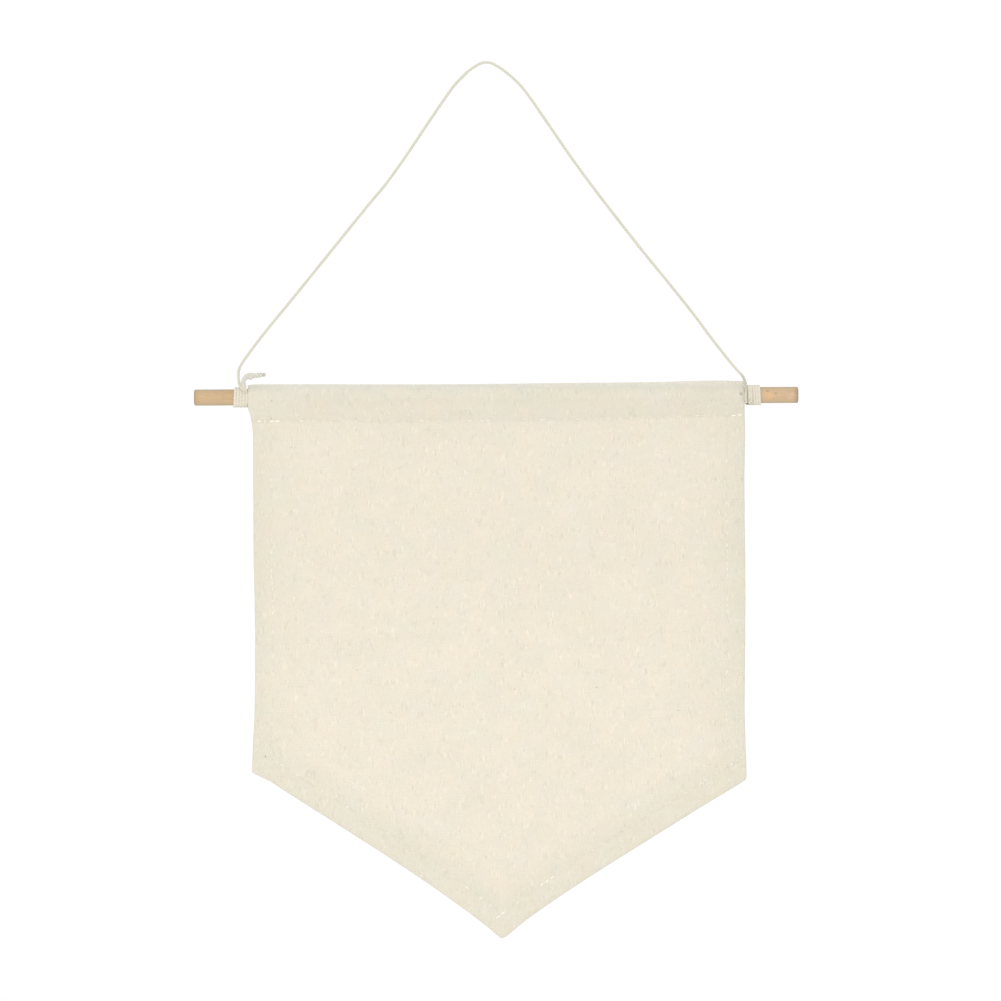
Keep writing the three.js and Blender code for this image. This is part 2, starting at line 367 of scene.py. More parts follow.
def even_steps(points, step):
    """The same line in steps of equal length."""
    lengths = [0.0]
    for one, other in zip(points, points[1:]):
        lengths.append(lengths[-1] + (other - one).length)
    count = max(2, round(lengths[-1] / step))
    even = []
    at = 0
    for i in range(count + 1):
        wanted = lengths[-1] * i / count
        while at + 2 < len(points) and lengths[at + 1] < wanted:
            at += 1
        share = (wanted - lengths[at]) / (lengths[at + 1] - lengths[at])
        even.append(points[at].lerp(points[at + 1], share))
    return even


def route_length(points):
    return sum((other - one).length for one, other in zip(points, points[1:]))


def frames_along(points, across):
    """For each point, a matrix whose Z runs along the line and whose X and Y lie across it.

    across is one direction, carried down the line, or a list with a direction for each point.
    """
    frames = []
    carried = across if isinstance(across, Vector) else across[0]
    for i, point in enumerate(points):
        if not isinstance(across, Vector):
            carried = across[i]
        ahead = (points[min(i + 1, len(points) - 1)] - points[max(i - 1, 0)]).normalized()
        carried = (carried - ahead * carried.dot(ahead)).normalized()
        matrix = Matrix((carried, ahead.cross(carried), ahead)).transposed().to_4x4()
        matrix.translation = point
        frames.append(matrix)
    return frames


# %% [markdown]
# One strand starts as a flat grid, one row for each step of the route. Each row is rolled into a ring
# that circles the middle line, and the two long edges are welded, so the strip becomes a tube. Three of
# them, a third of a turn apart, make the string. A string that is pulled tight round a rod goes flat, so
# its section may be squeezed.

# %% Twist strands about a route
CORD = 1.3  # across the string
SLACK_STRANDS = (1, 1.27)  # how far out the strands lie and how thick they are, in a loose string
TIGHT_STRANDS = (0.52, 1.44)  # and where tension beds them into each other
STRANDS = 3
STRAND_RADIUS = 0.335
STRAND_OFFSET = CORD / 2 - STRAND_RADIUS
LAY = 4.6  # length of one full twist
STRAND_SIDES = 8
ROUND = (1, 1)  # a section that isn't squeezed
LUMPS = 0.2  # how much thicker or thinner a slack string gets
LUMP_ROWS = 16  # rows from one lump to the next


def loosely(row):
    """Spun by hand and hung slack, a string is thicker in some places than in others."""
    offset, thickness = SLACK_STRANDS
    return offset, thickness * (1 + LUMPS * noise.noise((row / LUMP_ROWS, 3.3, 0)))


def tightly(row):
    return TIGHT_STRANDS


def lone(row):
    """A single strand on its own."""
    return 0, 1


def add_strand(bm, frames, step, phase, squeeze=ROUND, spread=loosely):
    """One strand, wound about the line of the frames. spread(row) gives its offset and thickness."""
    straight, depth = (bm.verts.layers.float_vector[name] for name in ("straight", "depth"))
    rows = len(frames) - 1
    made = bmesh.ops.create_grid(bm, x_segments=STRAND_SIDES, y_segments=rows, size=1)["verts"]
    long_edges = []
    for vert in made:
        side = round((vert.co.x + 1) / 2 * STRAND_SIDES)
        row = round((vert.co.y + 1) / 2 * rows)
        if side in (0, STRAND_SIDES):
            long_edges.append(vert)
        offset, thickness = spread(row)
        circling = phase + 2 * math.pi * row * step / LAY
        out = Vector((math.cos(circling), math.sin(circling), 0)) * STRAND_OFFSET * offset
        angle = 2 * math.pi * side / STRAND_SIDES
        ring = Vector((math.cos(angle), math.sin(angle), 0))
        section = out + ring * STRAND_RADIUS * thickness
        vert.co = frames[row] @ Vector((section.x * squeeze[0], section.y * squeeze[1], 0))
        vert[straight] = (ring.x, ring.y, phase + row * step)
        vert[depth] = (-ring.x * math.cos(circling) - ring.y * math.sin(circling) if offset else 0, 0, 0)
    bmesh.ops.remove_doubles(bm, verts=long_edges, dist=0.001)


def new_string_mesh():
    bm = bmesh.new()
    for name in ("straight", "depth"):
        bm.verts.layers.float_vector.new(name)
    return bm


def add_string(bm, frames, step, squeeze=ROUND, turn=0.0, spread=loosely):
    """Three strands twisted together."""
    for strand in range(STRANDS):
        add_strand(bm, frames, step, turn + 2 * math.pi * strand / STRANDS, squeeze, spread)
    close_ends(bm)


def close_ends(bm):
    """Caps every open end and turns all faces outwards."""
    bmesh.ops.holes_fill(bm, edges=[edge for edge in bm.edges if edge.is_boundary])
    bmesh.ops.recalc_face_normals(bm, faces=bm.faces)


# %% [markdown]
# ## The hanger
#
# The string leaves the knot at the left, rises to the nail and comes down to the right end of the
# dowel, where it dives under the winding. Its points keep close to the line of the frame's own cord,
# with a lead-in where it crosses the left winding and is tucked in. A string this light keeps the soft
# bends that it had on its ball, so its two sides aren't quite straight.

# %% Hang the cord
CORD_STEP = 0.42
FORWARD = Vector((0, -1, 0))

LEFT_TUCK = [
    (-120.5, -3.6, -163.5),
    (-120.7, -4.9, -162.7),
    (-121.3, -5.6, -161.6),
    (-122.15, -5.6, -160.5),
]
HANGER_ROUTE = [
    (-122.9, -5.1, -159.3),
    (-123.25, -4.8, -157.4),
    (-123.45, -4.5, -154.8),
    (-123.1, -4.3, -151.6),
    (-121.2, -4.1, -148),
    (-118.05, -4, -143.5),
    (-108.9, -3.7, -131.6),
    (-95.8, -3.2, -115.6),
    (-76.6, -2.6, -91.8),
    (-57.5, -1.9, -68.2),
    (-50.95, -1.7, -60.4),
    (-39.35, -1.2, -44.2),
    (-28.75, -0.8, -28.3),
    (-16.4, -0.3, -10.6),
    (-12.75, -0.2, -6.7),
    (-9.7, -0.1, -3.75),
    (-6.1, 0, -1.15),
    (-3.2, 0, 0.4),
    (-0.6, 0, 0.85),
    (1.8, 0, 0.55),
    (4.5, 0, -0.75),
    (8.1, -0.1, -3.15),
    (16.45, -0.3, -10.6),
    (29.2, -0.6, -28.3),
    (40.1, -0.9, -44.2),
    (51.65, -1.2, -60.1),
    (76.2, -1.8, -91.8),
    (89.05, -2.1, -107.6),
    (101.75, -2.4, -123.5),
    (113.65, -2.7, -139.4),
    (123.35, -3.2, -151.4),
    (126.7, -3.8, -155.2),
    (128.05, -4.8, -158.7),
    (128.25, -5.95, -162),
    (128.1, -6.2, -165.2),
    (128.4, -5.3, -168.5),
]

hanger_line = smooth_route(LEFT_TUCK + HANGER_ROUTE, CORD_STEP)
hanger_length = route_length(hanger_line)
bm = new_string_mesh()
add_string(bm, frames_along(hanger_line, FORWARD), CORD_STEP)
hanger = make_piece("hanger_string", bm, LOOSE_COTTON)
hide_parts("hanger_cord")
print(f"the hanger is {hanger_length:.1f} mm of string")

# %% [markdown]
# ## The windings
#
# At each end the string goes round the dowel a few times. The turns lie side by side and are pulled
# flat against the wood. Each winding is one route round the rod: a table says how far along the dowel
# the string is every time that it passes the front, and the route runs evenly between those passes.

# %% Wind the string round the rod
FLAT = 0.82  # how far tension flattens the string against the wood
WINDING_STEP = 0.4
TURN_POINTS = 72  # points of the route in one turn
WINDING_GAP = 0.06  # between the wood and the string
WINDING_RADIUS = ROD_RADIUS + WINDING_GAP + FLAT * CORD / 2
LEFT_PASSES = [-125.1, -123.75, -122.35, -120.9, -119.45]  # where the string passes the front
RIGHT_PASSES = [128.6, 129.95, 131, 132.4, 133.7, 134.95]
TUCKED_BIGHT = [  # a small loop of one strand stands out low on the right winding
    (130.2, -3.2, -168.9),
    (130.2, -4.7, -168.4),
    (130.75, -5.5, -167.4),
    (131.4, -4.8, -168.2),
    (131.5, -3.2, -168.9),
]


def round_rod(angle, x, radius):
    """A point at an angle from the front, over the top, at one place along the rod."""
    return Vector((x, -radius * math.cos(angle), rod_height(x) + radius * math.sin(angle)))


def add_winding(bm, passes, first_turn, last_turn, way, wide):
    """String pressed wide and wound through front passes. way is 1 over the top first, -1 under first."""
    line = []
    count = round((last_turn - first_turn) * TURN_POINTS)
    for i in range(count + 1):
        turn = first_turn + (last_turn - first_turn) * i / count
        at = min(max(int(math.floor(turn)), 0), len(passes) - 2)
        x = passes[at] + (passes[at + 1] - passes[at]) * (turn - at)
        angle = way * 2 * math.pi * turn
        line.append(round_rod(angle, x, WINDING_RADIUS))
    line = even_steps(line, WINDING_STEP)
    outward = [Vector((0, p.y, p.z - rod_height(p.x))).normalized() for p in line]
    add_string(bm, frames_along(line, outward), WINDING_STEP, (FLAT, wide), spread=tightly)
    return route_length(line)


bm = new_string_mesh()
left_length = add_winding(bm, LEFT_PASSES, first_turn=-0.35, last_turn=4.1, way=1, wide=1.3)
left_winding = make_piece("left_winding", bm, WOUND_COTTON)
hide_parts("cord_winding_left")

bm = new_string_mesh()
right_length = add_winding(bm, RIGHT_PASSES, first_turn=0.3, last_turn=5.3, way=-1, wide=1.18)
bight = smooth_route(TUCKED_BIGHT, WINDING_STEP)
add_strand(bm, frames_along(bight, FORWARD), WINDING_STEP, 0, spread=lone)
close_ends(bm)
right_winding = make_piece("right_winding", bm, WOUND_COTTON)
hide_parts("cord_winding_right")
print(f"wound string: {left_length:.0f} mm left and {right_length:.0f} mm right")

# %% [markdown]
# ## The tail
#
# Past the knot the cut end of the string sticks out over the cloth. Nothing pulls on it, so it swells
# where its twist is slack, and a table says how slack it is along its length. At the very end it has
# lost its twist: its strands part and taper off. One ply has come away below it. The route, the
# strands and the table are the same tools as before; only the thickness of each row is new.

# %% Swell the tail
TAIL_ROUTE = [
    (-119.6, -3.6, -163.7),
    (-119.6, -5, -162.8),
    (-120.1, -5.7, -161.5),
    (-120.7, -5.7, -160),
    (-121, -5.5, -158.6),
    (-120.8, -5.4, -157.1),
    (-119.8, -5.2, -155.8),
    (-118.4, -5.1, -155),
    (-116.9, -5, -154.8),
    (-115.2, -4.9, -155),
    (-113.2, -4.8, -154.6),
    (-110.8, -4.8, -154.5),
]
PLY_ROUTE = [(-120, -5.3, -155.6), (-118.9, -5.5, -155.3), (-117.9, -5.6, -155.8), (-117, -5.6, -156.4)]
PLY_STEP = 0.3
FRAY = 4.6  # length of the end that has come apart
SLACKNESS = [
    # distance from the start of the tail, and how slack it is there
    (2, 0),
    (5, 1),
    (8, 0.8),
    (10.3, 1.25),
    (12.8, 1.15),
    (14.5, 0.85),
]

tail_line = smooth_route(TAIL_ROUTE, CORD_STEP)
ply_line = smooth_route(PLY_ROUTE, PLY_STEP)
loose_from = route_length(tail_line) - FRAY
print(f"the tail is {route_length(tail_line):.1f} mm long and comes apart after {loose_from:.1f} mm")


def ease(value):
    """0 below 0, 1 above 1, and a soft step between."""
    value = min(max(value, 0), 1)
    return value * value * (3 - 2 * value)


def slackness(distance):
    for (start, little), (end, much) in zip(SLACKNESS, SLACKNESS[1:]):
        if distance < end:
            return little + (much - little) * ease((distance - start) / (end - start))
    return SLACKNESS[-1][1]


def untwist(row):
    """The tail has lost its tension and swells; its strands part towards the cut end and grow thin."""
    share = min(max((row * CORD_STEP - loose_from) / FRAY, 0), 1)
    slack = slackness(row * CORD_STEP)
    last_third = ease(share * 3 - 2)
    opening = ease(share * 2) - 0.9 * last_third
    thin = 1 - 0.4 * last_third
    return (1 + 0.9 * slack + 0.3 * opening) * thin, (1.2 + slack) * thin


def swollen(row):
    """A single strand on its own, which opens out as it loses its twist."""
    return 0.3, 2.6 + 0.04 * row


# %% [markdown]
# The fibres of a cut end stand apart. Each is a thin three-sided spike, far cheaper than a hair system and
# part of the mesh itself. They are set at random angles from a fixed seed, so that every run gives the
# same brush, and they start at several places near the end so that it frays gradually.

# %% Fray the tail
FIBRE_ROOT, FIBRE_TIP = 0.07, 0.03  # radius of a fibre
FIBRE_BURIED = 0.4  # length of a fibre that lies inside the string
BRUSHES = [
    # steps back from the cut end, and how many fibres start there
    (1, 22),
    (3, 16),
    (5, 10),
    (8, 6),
]


def brush(root, ahead, count, length, spread, wide, seed):
    """Loose fibres that spread from a bundle of the given half width."""
    bm = new_string_mesh()
    straight = bm.verts.layers.float_vector["straight"]
    pick = Random(seed)
    turn = Vector(ahead).to_track_quat("Z", "Y").to_matrix().to_4x4()
    for _ in range(count):
        long = length * pick.uniform(0.5, 1)
        lean = Matrix.Rotation(pick.gauss(0, spread), 4, "X")
        lean = lean @ Matrix.Rotation(pick.gauss(0, spread), 4, "Y")
        start = Matrix.Translation((pick.gauss(0, wide), pick.gauss(0, wide), long / 2 - FIBRE_BURIED))
        made = bmesh.ops.create_cone(
            bm,
            segments=3,
            radius1=FIBRE_ROOT,
            radius2=FIBRE_TIP,
            depth=long,
            cap_ends=True,
            matrix=Matrix.Translation(root) @ turn @ start @ lean,
        )
        of_its_own = (pick.random(), pick.random(), pick.uniform(0, 9))
        for vert in made["verts"]:
            vert[straight] = of_its_own
    return bm


def join(parts):
    """Several meshes as one. Many small shapes are quicker to make apart than in one large mesh."""
    whole = bmesh.new()
    for part in parts:
        mesh = bpy.data.meshes.new("part")
        part.to_mesh(mesh)
        part.free()
        whole.from_mesh(mesh)
        bpy.data.meshes.remove(mesh)
    return whole


bm = new_string_mesh()
add_string(bm, frames_along(tail_line, FORWARD), CORD_STEP, spread=untwist)
add_strand(bm, frames_along(ply_line, FORWARD), PLY_STEP, 1, spread=swollen)
close_ends(bm)
parts = [bm]
ahead = tail_line[-1] - tail_line[-4]
for steps_back, count in BRUSHES:
    root = tail_line[-steps_back]
    parts.append(brush(root, ahead, count, length=2.2, spread=0.25, wide=0.55, seed=steps_back))
aside = ply_line[-1] - ply_line[-3]
parts.append(brush(ply_line[-1], aside, 60, length=1.0, spread=0.4, wide=0.25, seed=20))
parts.append(brush(ply_line[-4], aside, 40, length=1.0, spread=0.5, wide=0.3, seed=21))
tail = make_piece("string_tail", join(parts), FRAYED_COTTON)
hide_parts("cord_tail", "cord_knot")

# %% [markdown]
# ## The cord's facts
#
# A cord is one length of something limp, whatever it is wound round. Below, the point where it leaves the
# knot and the points of its route are worked out in metres, and nothing more is done with them.

# %% Describe the cord
hanger_line[0] * MM
[point * MM for point in hanger_line]

# %% [markdown]
# ## Pale wood
#
# The dowel is a plain turned rod of a pale, fine-grained wood. Its grain runs along the rod, so the noise
# that draws it is stretched in that direction: soft bands for the growth, hair lines for the fibres and
# short dark dashes for the pores. Near the ends it is greyer, partly worn by hands and partly a painted
# shade where the rounded ends turn away. Where it curves away above and below, a painted shade makes it
# duller, and a few marks show at the right. Sawn ends show the same wood end on, a little darker.

# %% The wood's finish
FRONT_OF_ROD = -3.6
WOOD_MARKS = [
    # x, z, radius and colour of spots and blurred patches that catch the eye on the right stub
    (139.05, -162.6, 0.75, (150, 112, 78)),
    (143.1, -163.6, 0.6, (158, 120, 83)),
    (140.2, -165.1, 2.4, (216, 177, 136)),
    (139, -163.9, 2, (214, 177, 137)),
    # painted light: the wide pale patch below lifts the wood seen in the shadowed gap beside the right
    # winding
    (129.2, -164.6, 5, (228, 220, 200)),
    (150.9, -164.3, 1.3, (210, 176, 148)),
    (149.8, -165.8, 1.3, (210, 176, 148)),
]


def wood_finish():
    material, start = start_material("pale wood")
    place = place_in_mm(start)
    bands = place.stretched(0.035, 0.5, 0.5).noise(1, 3)
    hair = place.stretched(0.12, 5, 5).noise(1, 3, 0.6)
    pores = place.stretched(0.7, 6, 6).noise(1, 1).ramp(0.68, 0.76)
    blush = place.stretched(0.06, 0.2, 0.2).noise(1, 2)
    colour = bands.ramp(0.3, 0.7).tint(srgb(192, 163, 124), srgb(203, 175, 139))
    colour = (blush.ramp(0.45, 0.65) * 0.5).tint(colour, srgb(200, 166, 136))
    colour = (place.part(0).ramp(-100, 160) * 0.6).tint(colour, srgb(205, 179, 147))
    colour = (hair.ramp(0.45, 0.75) * 0.35).tint(colour, srgb(178, 147, 109))
    colour = (pores * 0.5).tint(colour, srgb(146, 112, 78))
    for x, z, radius, paint in WOOD_MARKS:
        away = place.away_from((x, FRONT_OF_ROD, z), (0.7, 0.4, 1))
        colour = away.ramp(radius * 0.2, radius, 0.7, 0).tint(colour, srgb(*paint))
    from_middle = (place.part(0) - ROD_MIDDLE.x).size()
    # greyer near the ends: partly wear, partly painted shade where the rounded ends turn away
    end_wear_and_shade = from_middle.ramp(ROD_LENGTH / 2 - 3, ROD_LENGTH / 2 - 0.2)
    end_wear_and_shade = end_wear_and_shade * place.part(0).ramp(-10, 10, 0.4, 0.75)
    colour = end_wear_and_shade.tint(colour, srgb(152, 138, 106))
    # painted shade: duller and greyer where the rod curves away above and below
    colour = (above_axis(place).size().ramp(1.8, 3.8) * 0.5).tint(colour, srgb(190, 176, 150))
    end = from_middle.ramp(ROD_LENGTH / 2 - 0.5, ROD_LENGTH / 2 - 0.05)
    rings = place.stretched(0, 1, 1).noise(2.2, 4, 0.7)
    colour = (end * (rings * 0.5 + 0.5)).tint(colour, srgb(168, 136, 98))
    relief = hair * 0.5 - pores + rings * end
    finish_material(start, colour, 0.62, relief, 0.05)
    return material


# %% [markdown]
# ## The dowel
#
# A rod is a cylinder with its sharp ends sanded off. The frame's dowel has few faces, so it is replaced
# by one with a rounder section: a cone operator with two equal radii, its end rims bevelled, and a thin
# inset ring on each end so that the sawn faces stay flat under smooth shading.

# %% Turn the dowel
ROD_SIDES = 64
ROD_ARRIS = 0.8  # how far in the ends are sanded round
END_RING = 0.15  # width of the flat ring round each sawn face


def turn_dowel():
    bm = bmesh.new()
    size = {"radius1": ROD_RADIUS, "radius2": ROD_RADIUS, "depth": ROD_LENGTH}
    bmesh.ops.create_cone(bm, segments=ROD_SIDES, cap_ends=True, **size)
    rims = [edge for edge in bm.edges if abs(edge.verts[0].co.z - edge.verts[1].co.z) < 0.01]
    arris = {"offset": ROD_ARRIS, "segments": 4, "profile": 0.5}
    bmesh.ops.bevel(bm, geom=rims, affect="EDGES", material=-1, **arris)
    ends = [face for face in bm.faces if len(face.verts) > 4]
    bmesh.ops.inset_individual(bm, faces=ends, thickness=END_RING)
    lay = Matrix.Rotation(math.pi / 2 - math.atan(ROD_SLOPE), 4, "Y")
    bmesh.ops.transform(bm, matrix=Matrix.Translation(ROD_MIDDLE) @ lay, verts=bm.verts)
    return make_piece("wooden_dowel", bm, wood_finish())


dowel = turn_dowel()
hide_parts("dowel")

# %% [markdown]
# ## The cloth's measures
#
# The sheet hangs exactly where the frame's solid hangs: the same side edges, top fold, pocket seam and
# slanting lower edges, and the same soft swells. Cut cloth is never quite true to its pattern, so short
# tables name a few places along each edge, and `curve_through` reads a smooth curve between them.

# %% Measure the cloth
SHEET = 0.6  # thickness of the canvas
LAYER_GAP = 0.04  # air between two layers that lie on each other
FOLD = SHEET + LAYER_GAP  # from the middle of one layer to the middle of the next
HEM = 12.0  # turned to the back along the sides and the point
SOLID_SHEET = 1.0  # the frame's cloth is thicker, and the front faces agree
SOLID_CLEARANCE = 0.3
FLAP = 4.0  # pocket cloth below the pocket's seam, at the back

LEFT_SHOULDER = Vector((-116.9, -350.8))
POINT = Vector((7.3, -434.1))
RIGHT_SHOULDER = Vector((128.7, -354.9))
BOTTOM_BOW = 2.0  # the hems draw the two slanting edges in by this much
BOW_LEAN = 0.9  # and more so near the point
BLUNT = 0.2  # how far below the point the folded tip may reach
CORNER_BULGES = [
    # x, half width and how far down the lower edges bulge
    (-116.6, 5, 1.4),
    (8.9, 6, 0.8),
    (68, 40, 0.55),
    (126, 12, 0.65),
]

SIDES = [
    {"z": -436, "left": -116.9, "right": 128.7},
    {"z": -352, "left": -116.9, "right": 128.7},
    {"z": -338, "left": -116.4, "right": 128.2},
    {"z": -320, "left": -115.6, "right": 127.8},
    {"z": -281, "left": -115.4, "right": 128.1},
    {"z": -243, "left": -116.1, "right": 128.1},
    {"z": -207, "left": -116.3, "right": 127.7},
    {"z": -183, "left": -116.5, "right": 128.1},
    {"z": -175, "left": -117.6, "right": 127.9},
    {"z": -171, "left": -118.8, "right": 127.7},
    {"z": -158, "left": -118.9, "right": 127.5},
]
HEADING = [
    {"x": -119, "top": -159.4, "seam": -177.4},
    {"x": -112, "top": -159.05, "seam": -177.4},
    {"x": -20, "top": -159.05, "seam": -177.2},
    {"x": 41, "top": -158.4, "seam": -176.4},
    {"x": 86, "top": -157.9, "seam": -175.2},
    {"x": 112, "top": -157.2, "seam": -174.6},
    {"x": 128, "top": -157.4, "seam": -174.4},
]
print(f"the pattern has {len(SIDES)} places along the sides and {len(HEADING)} along the top")

# %% [markdown]
# A smooth curve through a table is one cubic between each two rows. It passes a row in the direction in
# which the rows on both sides of it lie, so it has no corners. The two slanting edges are straight
# lines, bowed in a little, because a hem that is sewn on the slant draws the cloth up.

# %% Draw the edges
def curve_through(table, place, value):
    """A smooth curve through one column of a table, read at a place along another column."""
    at = [row[place] for row in table]
    values = [row[value] for row in table]
    last = len(table) - 1
    slopes = []
    for i in range(last + 1):
        before, after = max(i - 1, 0), min(i + 1, last)
        slopes.append((values[after] - values[before]) / (at[after] - at[before]))

    def read(where):
        where = min(max(where, at[0]), at[-1])
        i = next(i for i in range(last) if where <= at[i + 1])
        span = at[i + 1] - at[i]
        t = (where - at[i]) / span
        rise = values[i + 1] - values[i]
        lead = (1 - t) * (1 - t) * t * (slopes[i] * span)
        tail_off = t * t * (t - 1) * (slopes[i + 1] * span)
        return values[i] + rise * ease(t) + lead + tail_off

    return read


left_edge = curve_through(SIDES, "z", "left")
right_edge = curve_through(SIDES, "z", "right")
top_edge = curve_through(HEADING, "x", "top")
pocket_seam = curve_through(HEADING, "x", "seam")
SPAN = RIGHT_SHOULDER.x - LEFT_SHOULDER.x


def line_slope(shoulder):
    """The slope of the straight line from the point to one shoulder."""
    return (shoulder.y - POINT.y) / (shoulder.x - POINT.x)


def slanting_edge(x, shoulder):
    """One of the two edges that run from the shoulders to the point, bowed in a little."""
    share = (x - POINT.x) / (shoulder.x - POINT.x)
    bow = 4 * BOTTOM_BOW * share * (1 - share) * (1 + BOW_LEAN * (1 - 2 * share))
    return POINT.y + (shoulder.y - POINT.y) * share + bow


def bottom_edge(x):
    """The lower outline. Folded cloth bulges a little at the corners and makes the point blunt."""
    edge = slanting_edge(x, LEFT_SHOULDER if x < POINT.x else RIGHT_SHOULDER)
    for centre, reach, bulge in CORNER_BULGES:
        edge -= bulge * math.exp(-(((x - centre) / reach) ** 2))
    return max(edge, POINT.y - BLUNT)


def bottom_slope(x):
    return bottom_edge(x + 0.5) - bottom_edge(x - 0.5)


print(f"from the top down to the point: {top_edge(POINT.x) - bottom_edge(POINT.x):.1f} mm")

# %% [markdown]
# The panel isn't a plane either. It comes forward in some places and hangs back in others, by a
# millimetre or so, and each row of the next table is one such soft hill or hollow.

# %% Let the panel swell
SWELLS = [
    {"x": -98, "z": -340, "across": 34, "down": 60, "forward": -0.9},
    {"x": 108, "z": -335, "across": 38, "down": 66, "forward": 0.8},
    {"x": 8, "z": -425, "across": 42, "down": 44, "forward": 1.2},
    {"x": -46, "z": -275, "across": 32, "down": 62, "forward": 0.6},
    {"x": 44, "z": -300, "across": 34, "down": 66, "forward": -0.6},
    {"x": 88, "z": -240, "across": 24, "down": 36, "forward": 0.4},
]


def front_face(x, z):
    """How far back the front of the panel hangs."""
    y = -SOLID_SHEET
    for swell in SWELLS:
        across = (x - swell["x"]) / swell["across"]
        down = (z - swell["z"]) / swell["down"]
        y -= swell["forward"] * math.exp(-across * across - down * down)
    return y


low, high = (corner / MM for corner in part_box("banner_cloth"))
print(f"frame's cloth: {high.x - low.x:.1f} wide, {high.z - low.z:.1f} tall")

# %% [markdown]
# ## Hanging the sheet
#
# The cloth is one flat grid that is hung column by column. First come the stations, one for each column
# and each a share of the way across. Fine columns and rows lie near the hems, where stitches pull the
# cloth in, and one column lies exactly at the point, so that the outline keeps its corner there.

# %% Choose the columns
FINE = 1.0  # between columns near a hem, and between the lowest rows
COARSE = 2.0  # between the other columns
BAND = 14  # fine rows and columns reach this far in from the hems


def stations():
    """Shares across the cloth, 0 at the left edge and 1 at the right, with one at the point."""
    tip = (POINT.x - LEFT_SHOULDER.x) / SPAN
    band = BAND / SPAN
    shares = [i * FINE / SPAN for i in range(BAND)]
    left = round((tip - band) * SPAN / COARSE)
    shares += [band + (tip - band) * i / left for i in range(left)]
    right = round((1 - band - tip) * SPAN / COARSE)
    shares += [tip + (1 - band - tip) * i / right for i in range(right)]
    shares += [1 - band + i * FINE / SPAN for i in range(BAND + 1)]
    return shares


SHARES = stations()
LAST_COLUMN = len(SHARES) - 1
print(f"{len(SHARES)} columns across the cloth")

# %% [markdown]
# A column starts at the lower edge, climbs the front of the panel, swells round the dowel, turns over in
# a pressed crease at the top, comes down behind and ends in a short flap below the pocket's seam.
# Between the seam and the dowel's round the cloth is taut, so it runs straight there.

# %% Walk up one column of the sheet
POCKET_STEPS = 20  # up the pocket's front, and as many down its back
CREASE_STEPS = 6
FLAP_STEPS = 3
PANEL_STEPS = 112  # above the fine rows
ARC_STEPS = 24  # round the rod
CLOSING = 3  # beyond the side hems, the pocket's back comes this gradually nearer
TUCK = (SHEET + FOLD) / 2  # from a folded edge in to where the sheet starts to turn
POCKET_RADIUS = ROD_RADIUS + SOLID_CLEARANCE + SOLID_SHEET - SHEET / 2


def even_walk(points, count):
    """count steps of equal length along a line, without its last point."""
    return even_steps(points, route_length(points) / count)[:count]


def arc_to(low, high):
    """From a low point, round the front of the dowel, to a high point. Points are (y, z) from its axis."""
    def turn(point):
        return math.atan2(-point.x, point.y) % (2 * math.pi)

    def slack(point):
        return math.acos(POCKET_RADIUS / point.length)

    start, end = turn(low) - slack(low), turn(high) + slack(high)
    line = [low]
    for i in range(ARC_STEPS + 1):
        angle = start + (end - start) * i / ARC_STEPS
        line.append(Vector((-math.sin(angle), math.cos(angle))) * POCKET_RADIUS)
    return [*line, high]


def layers_at_edge(share):
    """1 over the side hems, 0 inside them."""
    return 1 - ease((min(share, 1 - share) * SPAN - HEM) / CLOSING)


def column(share):
    """The middle line of the sheet at one station: (y, z) from the lower edge to the end of the flap."""
    x = LEFT_SHOULDER.x + SPAN * share
    bottom = bottom_edge(x) + TUCK * math.hypot(1, bottom_slope(x))
    seam, axis = pocket_seam(x), rod_height(x)
    heights = [bottom + FINE * i for i in range(BAND)]
    rest = bottom + BAND * FINE
    heights += [rest + (seam - rest) * i / PANEL_STEPS for i in range(PANEL_STEPS)]
    line = [Vector((front_face(x, z) + SHEET / 2, z)) for z in heights]
    front_low = Vector((SHEET / 2 - SOLID_SHEET, seam - axis))
    back_low = Vector((front_low.x + FOLD * (1 + 2 * layers_at_edge(share)), seam - axis))
    crease = Vector((0, top_edge(x) - axis - SHEET / 2 - FOLD / 2))
    rise = Vector((-FOLD / 2, crease.y))
    pocket = even_walk(arc_to(front_low, rise), POCKET_STEPS)
    for i in range(CREASE_STEPS):
        angle = math.pi * i / CREASE_STEPS
        pocket.append(crease + Vector((-math.cos(angle), math.sin(angle))) * FOLD / 2)
    mirrored = Vector((-back_low.x, back_low.y))
    down = [Vector((-p.x, p.y)) for p in reversed(arc_to(mirrored, rise))]
    pocket += even_walk(down, POCKET_STEPS)
    line += [Vector((p.x, p.y + axis)) for p in pocket]
    for i in range(FLAP_STEPS + 1):
        line.append(Vector((back_low.x, seam - FLAP * i / FLAP_STEPS)))
    return line


COLUMNS = [column(share) for share in SHARES]
LAST_ROW = len(COLUMNS[0]) - 1
SEAM_ROW = BAND + PANEL_STEPS
print(f"the sheet has {LAST_COLUMN} by {LAST_ROW} cells")

# %% [markdown]
# Canvas is never quite flat: the edges ripple a little, and each line of stitches draws the cloth into
# a shallow trough with the hem puffed up beside it. `relief` is that unevenness, in millimetres
# towards the back.

# %% Place each point of the sheet
SIDE_STITCHES = 9.0  # from the finished edge to the line of stitches
BOTTOM_STITCHES = 10.0
TROUGH = 0.16  # how deep a line of stitches draws the cloth in
TROUGH_WIDTH = 1.1
COCKLES = [
    # how long and how deep the panel's unevenness is, and its own layer of the noise
    (16, 0.16, 0),
    (6, 0.05, 4),
]
RIPPLE = 0.14  # how far the side edges wander
RIPPLE_LENGTH = 9
RIPPLE_FADES = 20  # no ripple is left this far in


def edge_distances(x, z):
    """How far inside the nearest side edge and the nearer slanting edge a point lies."""
    side = min(x - left_edge(z), right_edge(z) - x)
    return side, (z - bottom_edge(x)) / math.hypot(1, bottom_slope(x))


